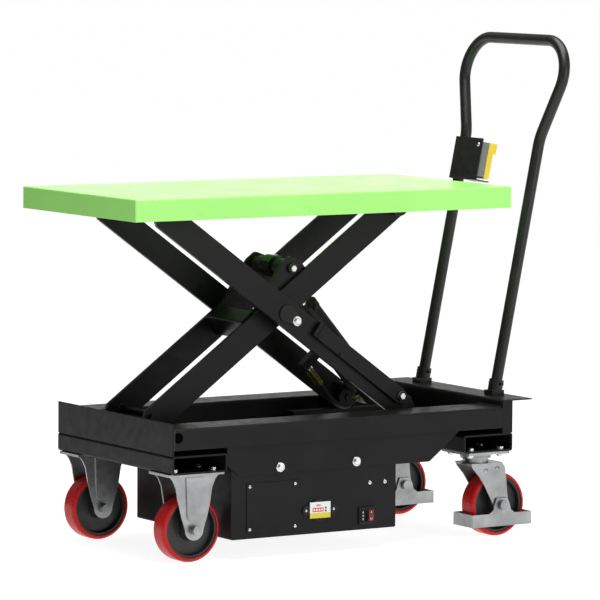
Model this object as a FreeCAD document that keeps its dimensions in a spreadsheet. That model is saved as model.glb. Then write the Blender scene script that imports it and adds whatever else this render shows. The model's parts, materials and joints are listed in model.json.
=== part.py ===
"""Electric mobile scissor lift table as a parametric document: one object per physical piece.

Frame: millimetres, +X towards the push handle, +Z up, origin on the floor under the middle
of the overall length. "left" is the -Y side and "right" the +Y side. The lift stands part
way up, which is the rest pose. Lengths along X are counted from the table's front edge.
"""
import FreeCAD, Part
import itertools
import math
import os
import re

import Sketcher
from FreeCAD import Placement, Rotation, Vector

DIMENSIONS = {
    # overall and table
    "OverallLength": 1224, "TableLength": 1010, "TableWidth": 516, "TableSkirt": 50,
    "TableHeight": 822, "TableSheet": 3, "TableBend": 4,
    # scissor
    "LiftAngle": 35.87, "ArmHalf": 401, "ArmWidth": 62.5, "ArmPlate": 10, "ArmTip": 35,
    "ArmTipCut": 21, "PivotX": 145.8, "PivotHeight": 304.4, "OuterArmFace": 138,
    "InnerArmFace": 90, "PinRadius": 10, "CentrePinRadius": 15, "PinPlay": 0.06,
    "StayAlong": 380, "StayRadius": 9, "BoxTubeAlong": -62,
    "BoxTubeLength": 44, "BoxTubeHeight": 56, "BoxTubeRise": 8,
    "KeeperReach": 31, "KeeperPlate": 4, "KeeperRadius": 20, "KeeperEar": 12, "BoltRadius": 6,
    "BoltHead": 5,
    # rollers and their tracks
    "RollerRadius": 23.5, "RollerWidth": 20, "RollerGap": 0.3, "AxleRadius": 8,
    "LowerRollerFace": 125, "UpperRollerFace": 114, "TrackWidth": 28, "LowerTrackFace": 127,
    "UpperTrackFace": 119, "LowerTrackStart": 640, "UpperTrackStart": 640, "TrackEnd": 985,
    "TrackWall": 3, "LugPlate": 10, "LugHalf": 18, "LugGap": 1,
    # hydraulic cylinder, in the inner arm's and the outer arm's own frames
    "LugPinAlong": 96.5, "LugPinRise": 51.2, "LugPinFace": 84, "FootPinAlong": 369.9,
    "FootPinRise": 13.9, "FootPinFace": 150, "LugFoot": -39, "LugRear": 127, "LugTop": 76,
    "BarrelRadius": 32, "BarrelWall": 7, "BarrelStart": 130, "BarrelEnd": 362,
    "GlandRadius": 34, "GlandLength": 16, "RodRadius": 15, "RodEnd": 248, "PistonLength": 22,
    "EyeRadius": 26, "EyeHalf": 20, "SpacerRadius": 20, "SpacerFace": 68,
    "FootEnd": 424, "FootHalf": 18, "FootLow": -28, "FootHigh": 38, "SlotBack": -14,
    "SlotFront": 11, "SlotLow": -16, "SlotHigh": 26, "SlotRound": 9,
    "PortAlong": 216, "PortLength": 20, "PortReach": 104, "PortSide": -20, "PortWidth": 22,
    "HoseRadius": 5.5, "FerruleRadius": 9, "FerruleLength": 46, "NutLength": 10,
    "HoseTurn": 350, "HoseEnd": 390, "HoseEndSide": -8, "HoseEndDrop": 14,
    # maintenance prop
    "PropLength": 284, "PropWidth": 35, "PropPlate": 10, "PropTip": 22, "PropNose": 8,
    # chassis
    "ChassisFront": 96, "ChassisRear": 1017, "HalfWidth": 261.5, "Gauge": 4, "RailTop": 307,
    "RailFoot": 258.5, "RailInner": 160, "FloorEdge": 97, "FloorHeight": 246, "RailRear": 989,
    "RailBend": 6, "EndPlateTop": 319, "EndPlateFoot": 246, "ChannelFoot": 204,
    "FrontChannelRear": 238, "RearChannelFront": 881, "ShelfTop": 324, "ShelfSheet": 3,
    "ShelfRear": 1072, "BaseLugFace": 101, "RailHoleX": 110.5, "RailHoleHeight": 287, "RailHoleRadius": 12,
    # power box and its hangers
    "HangerFront": 240, "HangerCutFront": 270, "HangerCutRear": 787, "HangerBreak": 821,
    "HangerRear": 870, "HangerFoot": 192, "HangerShoulder": 218, "HangerTop": 290,
    "HangerSheet": 3, "HangerBoltFront": 381, "HangerBoltRear": 586, "HangerBoltHeight": 205,
    "BoxFront": 253, "BoxRear": 696, "BoxFoot": 46.5, "BoxTop": 240, "BoxRight": 166,
    "BoxSheet": 2.5, "PanelFront": 293, "PanelRear": 430, "PanelFoot": 60, "PanelTop": 173,
    "PanelSheet": 2, "PanelInset": 8, "GaugeX": 487.5, "GaugeHeight": 100.5,
    "BezelRadius": 24, "BezelHalf": 46, "BezelEar": 11, "BezelDepth": 4,
    "InletFront": 594, "InletRear": 637, "InletFoot": 59, "InletTop": 98, "InletDepth": 5,
    "SocketWidth": 17, "SwitchWidth": 15, "SwitchHeight": 28,
    "UpperScrewFront": 625, "UpperScrewRear": 666, "UpperScrewHeight": 153.5, "ScrewRadius": 4,
    "ScrewHead": 3,
    # batteries and pump
    "BatteryLength": 181, "BatteryWidth": 77, "BatteryHeight": 150, "BatteryX": 268,
    "BatteryFace": 240, "BatteryGap": 8, "MotorRadius": 40, "MotorLength": 120, "MotorX": 480,
    "MotorSide": 40, "MotorHeight": 120, "BlockLength": 60, "BlockHalf": 38, "TankX": 470,
    "TankLength": 205, "TankSide": 20, "TankWidth": 130, "TankHeight": 120,
    # wheels and casters
    "WheelRadius": 75, "WheelWidth": 50, "CoreRadius": 65.5, "HubRadius": 23, "HubWidth": 56,
    "CoreRimWidth": 44, "CoreWebWidth": 18, "CoreRim": 6, "TreadShoulder": 8, "WheelSide": 205,
    "FixedX": 165.5, "SwivelX": 951.6, "SwivelTrail": 50, "WheelPlay": 0.1,
    "ForkGap": 31, "ForkSheet": 4, "ForkPlate": 6, "ForkRound": 24, "FixedPlateHalf": 72,
    "FixedPlateWidth": 45, "FixedPitchX": 100, "FixedPitchY": 60, "SwivelPlateHalf": 57,
    "SwivelPitchX": 84, "SwivelPitchY": 80, "CasterBolt": 5, "CasterHead": 8,
    "CasterHeadTall": 7, "RaceRadius": 36, "RaceHeight": 12, "CrownTop": 176, "CrownRadius": 41,
    "RibHalf": 19, "RibDepth": 3, "AxleHead": 11, "AxleHeadTall": 7,
    "GuardHalf": 83.5, "GuardWidth": 40, "GuardFoot": 25.5, "GuardTall": 30, "GuardSheet": 3,
    "GuardNeck": 22,
    # handle, in its own leaning frame
    "HandleX": 1039.6, "HandleLean": 11.59, "TubeRadius": 13.5, "TubeWall": 2.2,
    "PostSide": 152.4, "KinkHeight": 613, "KinkRadius": 110, "FlareAngle": 20.4,
    "BarHeight": 847.2, "BowRadius": 83, "SocketHalf": 17, "SocketTall": 11,
    "CollarRadius": 17.5, "CollarTall": 34, "CrossPin": 3.5, "CrossPinHalf": 27,
    "CrossPinHeight": 27,
    # hand control
    "HolderLow": 498, "HolderHigh": 600, "HolderInner": 55, "HolderSheet": 3,
    "ControlLow": 508, "ControlHigh": 592, "ControlInner": 58, "ControlWidth": 68,
    "ControlDepth": 21, "CoverDepth": 15, "CoverHead": 23, "CoverHeadTall": 24,
    "ButtonRadius": 9, "ButtonOut": 5, "ButtonIn": 9, "ButtonPlay": 0.4, "ButtonSpread": 15,
    "ButtonMiddle": 538,
}

FRONT = "(0 - OverallLength / 2)"
PIVOT_X = f"({FRONT} + PivotX)"
CENTRE_X = f"({FRONT} + PivotX + ArmHalf * cos(LiftAngle))"
CENTRE_Z = "(PivotHeight + ArmHalf * sin(LiftAngle))"
ROLLER_X = f"({FRONT} + PivotX + 2 * ArmHalf * cos(LiftAngle))"
UPPER_Z = "(PivotHeight + 2 * ArmHalf * sin(LiftAngle))"
TABLE_UNDER = "(TableHeight - TableSheet)"
BOX_FACE = "(HalfWidth - Gauge - HangerSheet)"
SIDES = (("left", -1), ("right", 1))
HANDLE_TURN = Rotation(Vector(0, 1, 0), DIMENSIONS["HandleLean"])
HANDLE_AT = (f"{FRONT} + HandleX", "0", "ShelfTop")

doc = FreeCAD.newDocument("ScissorLiftTable")
sheet = doc.addObject("Spreadsheet::Sheet", "Dims")
for row, (alias, size) in enumerate(DIMENSIONS.items(), start=1):
    sheet.set(f"A{row}", alias)
    sheet.set(f"B{row}", str(size))
    sheet.setAlias(f"B{row}", alias)
doc.recompute()

nodes = []


def bound(text):
    """The expression with every driving dimension taken from the spreadsheet."""
    return re.sub(r"[A-Z]\w+", lambda word: "Dims." + word.group(0), str(text))


def number(text):
    """The present value of an expression."""
    value = sheet.evalExpression(bound(text))
    return float(getattr(value, "Value", value))


def place(item, at, turn=None):
    """Put an object at a place whose three coordinates are expressions."""
    item.Placement = Placement(Vector(), turn or Rotation())
    for axis, text in zip("xyz", at):
        item.setExpression("Placement.Base." + axis, bound(text))
    return item


def keep(item, name):
    """Make the object a sub-part of its own."""
    item.Label = name
    nodes.append(item)
    return item


def box(at, size):
    """A block from its low corner and its three sizes."""
    item = doc.addObject("Part::Box", "Block")
    for side, text in zip(("Length", "Width", "Height"), size):
        item.setExpression(side, bound(text))
    return place(item, at)


def span(x, y, z):
    """A block from its low and high limit along each axis."""
    return box((x[0], y[0], z[0]), [f"({high}) - ({low})" for low, high in (x, y, z)])


DIRECTIONS = {
    "x": Rotation(Vector(0, 1, 0), 90),
    "y": Rotation(Vector(1, 0, 0), -90),
    "z": Rotation(),
}


def rod(at, radius, length, axis="y"):
    """A cylinder from the centre of its first end."""
    item = doc.addObject("Part::Cylinder", "Rod")
    item.setExpression("Radius", bound(radius))
    item.setExpression("Height", bound(length))
    return place(item, at, DIRECTIONS[axis])


def fuse(*items):
    item = doc.addObject("Part::MultiFuse", "Union")
    item.Shapes = list(items)
    return item


def cut(base, *tools):
    item = doc.addObject("Part::Cut", "Cut")
    item.Base = base
    item.Tool = tools[0] if len(tools) == 1 else fuse(*tools)
    return item


def group(*items):
    """Separate solids kept in one sub-part."""
    item = doc.addObject("Part::Compound", "Group")
    item.Links = list(items)
    return item


def tube(at, radius, wall, length, axis="y"):
    return cut(rod(at, radius, length, axis), rod(at, f"({radius}) - ({wall})", length, axis))


def sketch_on(body, role):
    sketch = body.newObject("Sketcher::SketchObject", "Sketch")
    plane = next(f for f in body.Origin.OriginFeatures if f.Role == role)
    sketch.AttachmentSupport = [(plane, "")]
    sketch.MapMode = "FlatFace"
    return sketch


def fix_point(sketch, geometry, end, point):
    """Hold a sketch point at coordinates that are expressions."""
    for kind, text in zip(("DistanceX", "DistanceY"), point):
        index = sketch.addConstraint(Sketcher.Constraint(kind, -1, 1, geometry, end, number(text)))
        sketch.setExpression(f"Constraints[{index}]", bound(text))


def draw_outline(sketch, outline):
    """A closed polygon whose corners are pairs of expressions."""
    corners = [Vector(number(x), number(y), 0) for x, y in outline]
    first = len(sketch.Geometry)
    count = len(corners)
    for index in range(count):
        sketch.addGeometry(Part.LineSegment(corners[index], corners[(index + 1) % count]), False)
    for index in range(count):
        following = first + (index + 1) % count
        sketch.addConstraint(Sketcher.Constraint("Coincident", first + index, 2, following, 1))
    for index in range(count):
        fix_point(sketch, first + index, 1, outline[index])


def draw_hole(sketch, x, y, radius):
    """A circle whose centre and radius are expressions."""
    circle = Part.Circle(Vector(number(x), number(y), 0), Vector(0, 0, 1), number(radius))
    index = sketch.addGeometry(circle, False)
    fix_point(sketch, index, 3, (x, y))
    bend = sketch.addConstraint(Sketcher.Constraint("Radius", index, number(radius)))
    sketch.setExpression(f"Constraints[{bend}]", bound(radius))


ROLE_AXES = {"XY_Plane": (0, 1), "XZ_Plane": (0, 2), "YZ_Plane": (1, 2)}


def upright_edges(shape, role, corners):
    """Names of the straight edges that stand on the given outline corners."""
    first, second = ROLE_AXES[role]
    names = []
    for index, edge in enumerate(shape.Edges, start=1):
        ends = [vertex.Point for vertex in edge.Vertexes]
        if len(ends) != 2:
            continue
        for x, y in corners:
            if all(abs(e[first] - x) < 1e-3 and abs(e[second] - y) < 1e-3 for e in ends):
                names.append(f"Edge{index}")
    return names


def plate(role, outline, thickness, at=("0", "0", "0"), holes=(), rounds=(), turn=None):
    """A body padded from an outline, centred on its plane, with holes and rounded corners.

    rounds holds (corner numbers, radius) pairs.
    """
    body = doc.addObject("PartDesign::Body", "Plate")
    sketch = sketch_on(body, role)
    draw_outline(sketch, outline)
    for x, y, radius in holes:
        draw_hole(sketch, x, y, radius)
    pad = body.newObject("PartDesign::Pad", "Pad")
    pad.Profile = sketch
    pad.Midplane = True
    pad.setExpression("Length", bound(thickness))
    doc.recompute()
    last = pad
    for corners, radius in rounds:
        points = [(number(outline[index][0]), number(outline[index][1])) for index in corners]
        fillet = body.newObject("PartDesign::Fillet", "Bend")
        fillet.Base = (last, upright_edges(last.Shape, role, points))
        fillet.setExpression("Radius", bound(radius))
        doc.recompute()
        last = fillet
    body.Tip = last
    return place(body, at, turn)


def turned(outline, at=("0", "0", "0"), turn=None, role="YZ_Plane"):
    """A body turned about its own plane's first axis."""
    body = doc.addObject("PartDesign::Body", "Turned")
    sketch = sketch_on(body, role)
    draw_outline(sketch, outline)
    lathe = body.newObject("PartDesign::Revolution", "Revolution")
    lathe.Profile = sketch
    lathe.ReferenceAxis = (sketch, ["H_Axis"])
    lathe.Angle = 360
    body.Tip = lathe
    return place(body, at, turn)


def mirrored(outline, sign):
    """The outline with its first coordinate on the given side."""
    return [(f"{sign} * ({x})", y) for x, y in outline]


# ---------------------------------------------------------------- table
def table_top():
    """Folded tray: a flat top with a skirt, rounded along its bends."""
    body = doc.addObject("PartDesign::Body", "TableTop")
    sketch = sketch_on(body, "XY_Plane")
    half = "TableWidth / 2"
    low = f"0 - {half}"
    draw_outline(sketch, [("0", low), ("TableLength", low), ("TableLength", half), ("0", half)])
    pad = body.newObject("PartDesign::Pad", "Pad")
    pad.Profile = sketch
    pad.setExpression("Length", bound("TableSkirt"))
    doc.recompute()
    foot = [e for e in range(1, 13) if max(v.Z for v in pad.Shape.Edges[e - 1].Vertexes) > 1]
    bends = body.newObject("PartDesign::Fillet", "Bends")
    bends.Base = (pad, [f"Edge{e}" for e in foot])
    bends.setExpression("Radius", bound("TableBend"))
    doc.recompute()
    inner = sketch_on(body, "XY_Plane")
    near = f"TableSheet - {half}"
    far = f"{half} - TableSheet"
    end = "TableLength - TableSheet"
    draw_outline(inner, [("TableSheet", near), (end, near), (end, far), ("TableSheet", far)])
    hollow = body.newObject("PartDesign::Pocket", "Hollow")
    hollow.Profile = inner
    hollow.Reversed = True
    hollow.setExpression("Length", bound("TableSkirt - TableSheet"))
    doc.recompute()
    if hollow.Shape.Volume > 0.5 * bends.Shape.Volume:
        raise RuntimeError("the tray is not hollow")
    body.Tip = hollow
    place(body, (FRONT, "0", "TableHeight - TableSkirt"))
    keep(body, "table_top")


def table_tracks():
    """Upper roller tracks, front cross bar and the two hanging pivot lugs."""
    pieces = []
    foot = f"({UPPER_Z} + RollerRadius + RollerGap)"
    for _, sign in SIDES:
        low = "UpperTrackFace - TrackWidth" if sign > 0 else "0 - UpperTrackFace"
        high = "UpperTrackFace" if sign > 0 else "TrackWidth - UpperTrackFace"
        x = (f"{FRONT} + UpperTrackStart", f"{FRONT} + TrackEnd")
        shell = span(x, (low, high), (foot, TABLE_UNDER))
        hollow = span(x, (f"{low} + TrackWall", f"{high} - TrackWall"),
                      (f"{foot} + TrackWall", f"{TABLE_UNDER} - TrackWall"))
        pieces.append(cut(shell, hollow))
        drop = f"({TABLE_UNDER} - {UPPER_Z})"
        lug = [("0 - LugHalf", drop), ("0 - LugHalf", "0"), ("0 - LugHalf / 2", "0 - LugHalf"),
               ("LugHalf / 2", "0 - LugHalf"), ("LugHalf", "0"), ("LugHalf", drop)]
        side = f"{sign} * (OuterArmFace - ArmPlate - LugGap - LugPlate / 2)"
        pieces.append(plate("XZ_Plane", lug, "LugPlate", (PIVOT_X, side, UPPER_Z),
                            holes=[("0", "0", "PinRadius + PinPlay")]))
    keep(group(*pieces), "table_tracks")


# ---------------------------------------------------------------- scissor
LEAN = {"outer": Rotation(Vector(0, 1, 0), DIMENSIONS["LiftAngle"]),
        "inner": Rotation(Vector(0, -1, 0), DIMENSIONS["LiftAngle"])}


def on_arm(arm, along, rise, side="0"):
    """Place expressions for a point given in an arm's own frame."""
    sign = "+" if arm == "inner" else "-"
    other = "-" if arm == "inner" else "+"
    x = f"{CENTRE_X} + ({along}) * cos(LiftAngle) {other} ({rise}) * sin(LiftAngle)"
    z = f"{CENTRE_Z} {sign} ({along}) * sin(LiftAngle) + ({rise}) * cos(LiftAngle)"
    return (x, side, z)


def arm_outline():
    half = "ArmWidth / 2"
    cut_half = "ArmWidth / 2 - ArmTipCut"
    tip = "ArmHalf + ArmTip"
    right = [("ArmHalf", f"0 - ({half})"), (tip, f"0 - ({cut_half})"), (tip, cut_half), ("ArmHalf", half)]
    left = [(f"0 - ({x})", f"0 - ({y})") for x, y in right]
    return right + left


def scissor_arms():
    centre = {"outer": "CentrePinRadius", "inner": "CentrePinRadius + PinPlay"}
    ends = {"outer": ("PinRadius", "AxleRadius"), "inner": ("PinRadius + PinPlay", "AxleRadius")}
    for arm, face in (("outer", "OuterArmFace"), ("inner", "InnerArmFace")):
        fixed, rolling = ends[arm]
        holes = [("0", "0", centre[arm]), ("0 - ArmHalf", "0", fixed), ("ArmHalf", "0", rolling)]
        if arm == "outer":
            holes.append(("FootPinAlong", "FootPinRise", "PinRadius"))
        for name, sign in SIDES:
            body = plate("XZ_Plane", arm_outline(), "ArmPlate",
                         (CENTRE_X, f"{sign} * ({face} - ArmPlate / 2)", CENTRE_Z),
                         holes=holes, turn=LEAN[arm])
            keep(body, f"{arm}_arm_{name}")


def cross_members():
    """Shaft through the outer arms' upper ends, and the stays and square tube between the inner arms."""
    reach = "(OuterArmFace + 3)"
    keep(rod((PIVOT_X, f"0 - {reach}", UPPER_Z), "PinRadius", f"2 * {reach}"), "outer_top_shaft")
    reach = "(InnerArmFace - ArmPlate)"
    stays = [rod(on_arm("inner", along, "0", f"0 - {reach}"), "StayRadius", f"2 * {reach}")
             for along in ("0 - StayAlong", "StayAlong")]
    half = "BoxTubeLength / 2"
    tall = "BoxTubeHeight / 2"
    profile = [(f"0 - {half}", f"0 - {tall}"), (half, f"0 - {tall}"), (half, tall), (f"0 - {half}", tall)]
    square = plate("XZ_Plane", profile, f"2 * {reach}",
                   on_arm("inner", "BoxTubeAlong", "BoxTubeRise"), turn=LEAN["inner"],
                   rounds=[((0, 1, 2, 3), "TableBend")])
    keep(group(*stays, square), "inner_cross_tubes")


def centre_pins():
    """Headed pins, each with a keeper plate bolted to its outer arm."""
    pieces = []
    for _, sign in SIDES:
        inner = "InnerArmFace - ArmPlate + RollerGap"
        length = "OuterArmFace - InnerArmFace + ArmPlate - RollerGap"
        low = inner if sign > 0 else "0 - OuterArmFace"
        shank = rod((CENTRE_X, low, CENTRE_Z), "CentrePinRadius", length)
        face = "OuterArmFace" if sign > 0 else "0 - OuterArmFace - KeeperPlate"
        head = rod((CENTRE_X, face, CENTRE_Z), "KeeperRadius", "KeeperPlate")
        ear = rod(on_arm("outer", "KeeperReach", "0", face), "KeeperEar", "KeeperPlate")
        outline = [("0", "0 - KeeperRadius"), ("KeeperReach", "0 - KeeperEar"),
                   ("KeeperReach", "KeeperEar"),
                   ("0", "KeeperRadius")]
        web = plate("XZ_Plane", outline, "KeeperPlate",
                    (CENTRE_X, f"{sign} * (OuterArmFace + KeeperPlate / 2)", CENTRE_Z), turn=LEAN["outer"])
        bolt_face = "OuterArmFace + KeeperPlate" if sign > 0 else "0 - OuterArmFace - KeeperPlate - BoltHead"
        bolt = rod(on_arm("outer", "KeeperReach", "0", bolt_face), "BoltRadius", "BoltHead")
        pieces.append(fuse(shank, head, ear, web, bolt))
    pieces += roller_axles("outer") + [headed_pin("outer", "FootPinAlong", "FootPinRise", "FootPinFace")]
    keep(group(*pieces), "outer_arm_pins")


def rollers():
    """Each pair of rollers turns on stub axles fixed to its own arms."""
    for arm, face, z in (("lower", "LowerRollerFace", "PivotHeight"),
                         ("upper", "UpperRollerFace", UPPER_Z)):
        wheels = []
        for _, sign in SIDES:
            low = f"{face} - RollerWidth" if sign > 0 else f"0 - {face}"
            ring = cut(rod((ROLLER_X, low, z), "RollerRadius", "RollerWidth"),
                       rod((ROLLER_X, low, z), "AxleRadius + PinPlay", "RollerWidth"))
            wheels.append(ring)
        keep(group(*wheels), f"{arm}_rollers")


def roller_axles(arm):
    """Stub axles through an arm pair's rolling ends."""
    if arm == "outer":
        start, end, z = "LowerRollerFace - RollerWidth - 4", "OuterArmFace + 2", "PivotHeight"
    else:
        start, end, z = "InnerArmFace - ArmPlate - 2", "UpperRollerFace + 4", UPPER_Z
    return [rod((ROLLER_X, start if sign > 0 else f"0 - ({end})", z), "AxleRadius", f"{end} - ({start})")
            for _, sign in SIDES]


def headed_pin(arm, along, rise, face, *collars):
    """Pin right across an arm pair with a bolt head at each end."""
    pieces = [rod(on_arm(arm, along, rise, f"0 - {face}"), "PinRadius", f"2 * {face}")]
    for low in (face, f"0 - {face} - BoltHead"):
        pieces.append(rod(on_arm(arm, along, rise, low), "PinRadius + 1", "BoltHead"))
    return fuse(*pieces, *collars)


def cylinder_lugs():
    """Gussets on the inner arms, the rod pin with its spacers, and its end bolts."""
    outline = [("LugFoot", "10"), ("LugFoot", "ArmWidth / 2 + 3"), ("LugPinAlong - 14", "LugTop"),
               ("LugPinAlong + 14", "LugTop"), ("LugRear", "LugPinRise"), ("LugRear", "10")]
    pieces = []
    for _, sign in SIDES:
        side = f"{sign} * (InnerArmFace - 1.5 * ArmPlate)"
        gusset = plate("XZ_Plane", outline, "ArmPlate", (CENTRE_X, side, CENTRE_Z),
                       holes=[("LugPinAlong", "LugPinRise", "PinRadius")],
                       rounds=[((2, 3, 4), "ArmPlate")], turn=LEAN["inner"])
        pieces.append(gusset)
    keep(group(*pieces), "cylinder_lugs")
    spacers = [rod(on_arm("inner", "LugPinAlong", "LugPinRise", low), "SpacerRadius",
                   "SpacerFace - EyeHalf - 2")
               for low in ("EyeHalf + 2", "0 - SpacerFace")]
    rod_pin = headed_pin("inner", "LugPinAlong", "LugPinRise", "LugPinFace", *spacers)
    keep(group(rod_pin, *roller_axles("inner")), "inner_arm_pins")


def cylinder_axis():
    """Start, unit direction and length of the cylinder line at rest, from the two pins."""
    start = Vector(*[number(text) for text in on_arm("inner", "LugPinAlong", "LugPinRise")])
    end = Vector(*[number(text) for text in on_arm("outer", "FootPinAlong", "FootPinRise")])
    line = end - start
    return start, line.normalize(), (end - start).Length


def cylinder():
    """Barrel with a slotted foot, rod with its eye. Local X runs from the rod pin to the foot."""
    start, line, reach = cylinder_axis()
    tilt = math.degrees(math.atan2(-line.z, line.x))
    turn = Rotation(Vector(0, 1, 0), tilt)
    at = on_arm("inner", "LugPinAlong", "LugPinRise")

    bore = "BarrelRadius - BarrelWall"
    barrel = turned([
        ("BarrelStart", "RodRadius + PinPlay"), ("BarrelStart", "GlandRadius"),
        ("BarrelStart + GlandLength", "GlandRadius"), ("BarrelStart + GlandLength", "BarrelRadius"),
        ("BarrelEnd", "BarrelRadius"), ("BarrelEnd", "0"), ("BarrelEnd - GlandLength", "0"),
        ("BarrelEnd - GlandLength", bore), ("BarrelStart + GlandLength", bore),
        ("BarrelStart + GlandLength", "RodRadius + PinPlay")], role="XZ_Plane")
    middle = reach
    foot_outline = [("BarrelEnd - 6", "FootLow"), ("FootEnd", "FootLow"), ("FootEnd", "FootHigh"),
                    ("BarrelEnd + 12", "FootHigh"), ("BarrelEnd - 6", "BarrelRadius - 6")]
    foot = plate("XZ_Plane", foot_outline, "2 * FootHalf", rounds=[((1, 2), "EyeRadius / 2")])
    slot_outline = [(f"{middle} + SlotBack", "SlotLow"), (f"{middle} + SlotFront", "SlotLow"),
                    (f"{middle} + SlotFront", "SlotHigh"), (f"{middle} + SlotBack", "SlotHigh")]
    slot = plate("XZ_Plane", slot_outline, "3 * FootHalf", rounds=[((0, 1, 2, 3), "SlotRound")])
    port = span(("PortAlong", "PortAlong + PortLength"),
                ("PortSide - PortWidth / 2", "PortSide + PortWidth / 2"),
                ("0 - PortReach", "0 - BarrelRadius * 0.6"))
    bleed = rod(("BarrelStart + 8", "0 - GlandRadius - 5", "8"), "BoltRadius", "8")
    whole = cut(fuse(barrel, foot, cut(port, rod(("BarrelStart", "0", "0"), "BarrelRadius - 1",
                                                 "BarrelEnd - BarrelStart", "x")), bleed), slot)
    place(whole, at, turn)
    keep(whole, "cylinder_barrel")

    shaft = turned([
        ("EyeRadius - 4", "0"), ("EyeRadius - 4", "RodRadius"), ("RodEnd - PistonLength", "RodRadius"),
        ("RodEnd - PistonLength", f"{bore} - PinPlay"), ("RodEnd", f"{bore} - PinPlay"), ("RodEnd", "0")],
        role="XZ_Plane")
    eye = rod(("0", "0 - EyeHalf", "0"), "EyeRadius", "2 * EyeHalf")
    hole = rod(("0", "0 - EyeHalf", "0"), "PinRadius + PinPlay", "2 * EyeHalf")
    piston_rod = cut(fuse(shaft, eye), hole)
    place(piston_rod, at, turn)
    keep(piston_rod, "piston_rod")

    fitting_x = "PortAlong + PortLength"
    depth = "0 - PortReach + FerruleRadius + 2.5"
    nut = rod((fitting_x, "PortSide", depth), "FerruleRadius + 1", "NutLength", "x")
    ferrule = rod((f"{fitting_x} + NutLength", "PortSide", depth), "FerruleRadius", "FerruleLength", "x")
    elbow = rod(("HoseEnd", "HoseEndSide", "FootLow - HoseEndDrop"), "FerruleRadius - 1", "HoseEndDrop",
                "z")
    hose_end = f"{fitting_x} + NutLength + FerruleLength"
    for name, item in (("hose_fittings", group(fuse(nut, ferrule), elbow)),
                       ("hydraulic_hose", hose(hose_end, depth))):
        carrier = group(item)
        place(carrier, at, turn)
        keep(carrier, name)


def hose(start_x, depth):
    """The hose from the ferrule round to the elbow under the barrel's foot."""
    points = [Vector(*[number(text) for text in point]) for point in (
        (start_x, "PortSide", depth), ("HoseTurn", "PortSide", depth),
        ("HoseEnd - 4", "(PortSide + HoseEndSide) / 2", f"{depth} + 19"),
        ("HoseEnd", "HoseEndSide", "FootLow - HoseEndDrop"))]
    radii = []
    for before, point, after in zip(points, points[1:], points[2:]):
        shorter = min((point - before).Length, (after - point).Length)
        radii.append(0.45 * shorter / math.tan((point - before).getAngle(after - point) / 2))
    print("hose bend radii:", [round(radius, 1) for radius in radii])
    item = doc.addObject("Part::Feature", "Hose")
    item.Shape = swept(bent_wire(points, radii), number("HoseRadius"))
    expected = math.pi * number("HoseRadius") ** 2 * bent_wire(points, radii).Length
    if abs(item.Shape.Volume / expected - 1) > 0.02:
        raise RuntimeError("the hose's volume is wrong")
    return item


def bent_wire(points, radii):
    """Straight runs between points, joined by tangent arcs of the given radii."""
    edges = []
    last = points[0]
    for before, point, after, radius in zip(points, points[1:], points[2:], radii):
        back = (before - point).normalize()
        ahead = (after - point).normalize()
        half = (before - point).getAngle(after - point) / 2
        reach = radius / math.tan(half)
        middle = point + (back + ahead).normalize() * (radius / math.sin(half) - radius)
        edges.append(Part.LineSegment(last, point + back * reach).toShape())
        edges.append(Part.Arc(point + back * reach, middle, point + ahead * reach).toShape())
        last = point + ahead * reach
    edges.append(Part.LineSegment(last, points[-1]).toShape())
    return Part.Wire(edges)


def swept(path, radius):
    """A round bar along a wire."""
    first = path.OrderedEdges[0]
    start = first.valueAt(first.FirstParameter)
    ring = Part.Wire([Part.makeCircle(radius, start, first.tangentAt(first.FirstParameter))])
    return path.makePipeShell([ring], True, False)


def maintenance_prop():
    """Flat bar that lies along the left outer arm and swings down about the foot pin."""
    half = "PropWidth / 2"
    outline = [("0 - PropLength", f"0 - ({half})"), ("0", f"0 - ({half})"), ("PropTip", "0 - PropNose"),
               ("PropTip", "PropNose"), ("0", half), ("0 - PropLength", half)]
    side = "0 - OuterArmFace - 1 - PropPlate / 2"
    bar = plate("XZ_Plane", outline, "PropPlate", on_arm("outer", "FootPinAlong", "FootPinRise", side),
                holes=[("0", "0", "PinRadius + PinPlay")], rounds=[((0, 5), "3")], turn=LEAN["outer"])
    keep(bar, "maintenance_prop")


# ---------------------------------------------------------------- chassis
def side_rails():
    """One folded sheet a side: outer web, wide top flange, inner web and floor flange."""
    profile = [
        ("HalfWidth", "RailFoot"), ("HalfWidth", "RailTop"), ("RailInner", "RailTop"),
        ("RailInner", "FloorHeight + Gauge"), ("FloorEdge", "FloorHeight + Gauge"),
        ("FloorEdge", "FloorHeight"), ("RailInner + Gauge", "FloorHeight"),
        ("RailInner + Gauge", "RailTop - Gauge"), ("HalfWidth - Gauge", "RailTop - Gauge"),
        ("HalfWidth - Gauge", "RailFoot")]
    length = "RailRear - ChassisFront - Gauge"
    middle = f"{FRONT} + (RailRear + ChassisFront + Gauge) / 2"
    for name, sign in SIDES:
        rail = plate("YZ_Plane", mirrored(profile, sign), length, (middle, "0", "0"),
                     rounds=[((1, 2), "RailBend"), ((7, 8), "RailBend - Gauge"), ((3,), "2")])
        hole = rod((f"{FRONT} + RailHoleX",
                    "HalfWidth - 2 * Gauge" if sign > 0 else "0 - HalfWidth - Gauge",
                    "RailHoleHeight"), "RailHoleRadius", "3 * Gauge")
        keep(cut(rail, hole), f"side_rail_{name}")


def roller_tracks():
    """Hollow bars on the floor flanges that the lower rollers run on."""
    pieces = []
    for _, sign in SIDES:
        low = "LowerTrackFace - TrackWidth" if sign > 0 else "0 - LowerTrackFace"
        high = "LowerTrackFace" if sign > 0 else "TrackWidth - LowerTrackFace"
        x = (f"{FRONT} + LowerTrackStart", f"{FRONT} + TrackEnd")
        foot = "FloorHeight + Gauge"
        top = "PivotHeight - RollerRadius - RollerGap"
        pieces.append(cut(span(x, (low, high), (foot, top)),
                          span(x, (f"{low} + TrackWall", f"{high} - TrackWall"),
                               (f"{foot} + TrackWall", f"{top} - TrackWall"))))
    keep(group(*pieces), "lower_roller_tracks")


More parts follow.
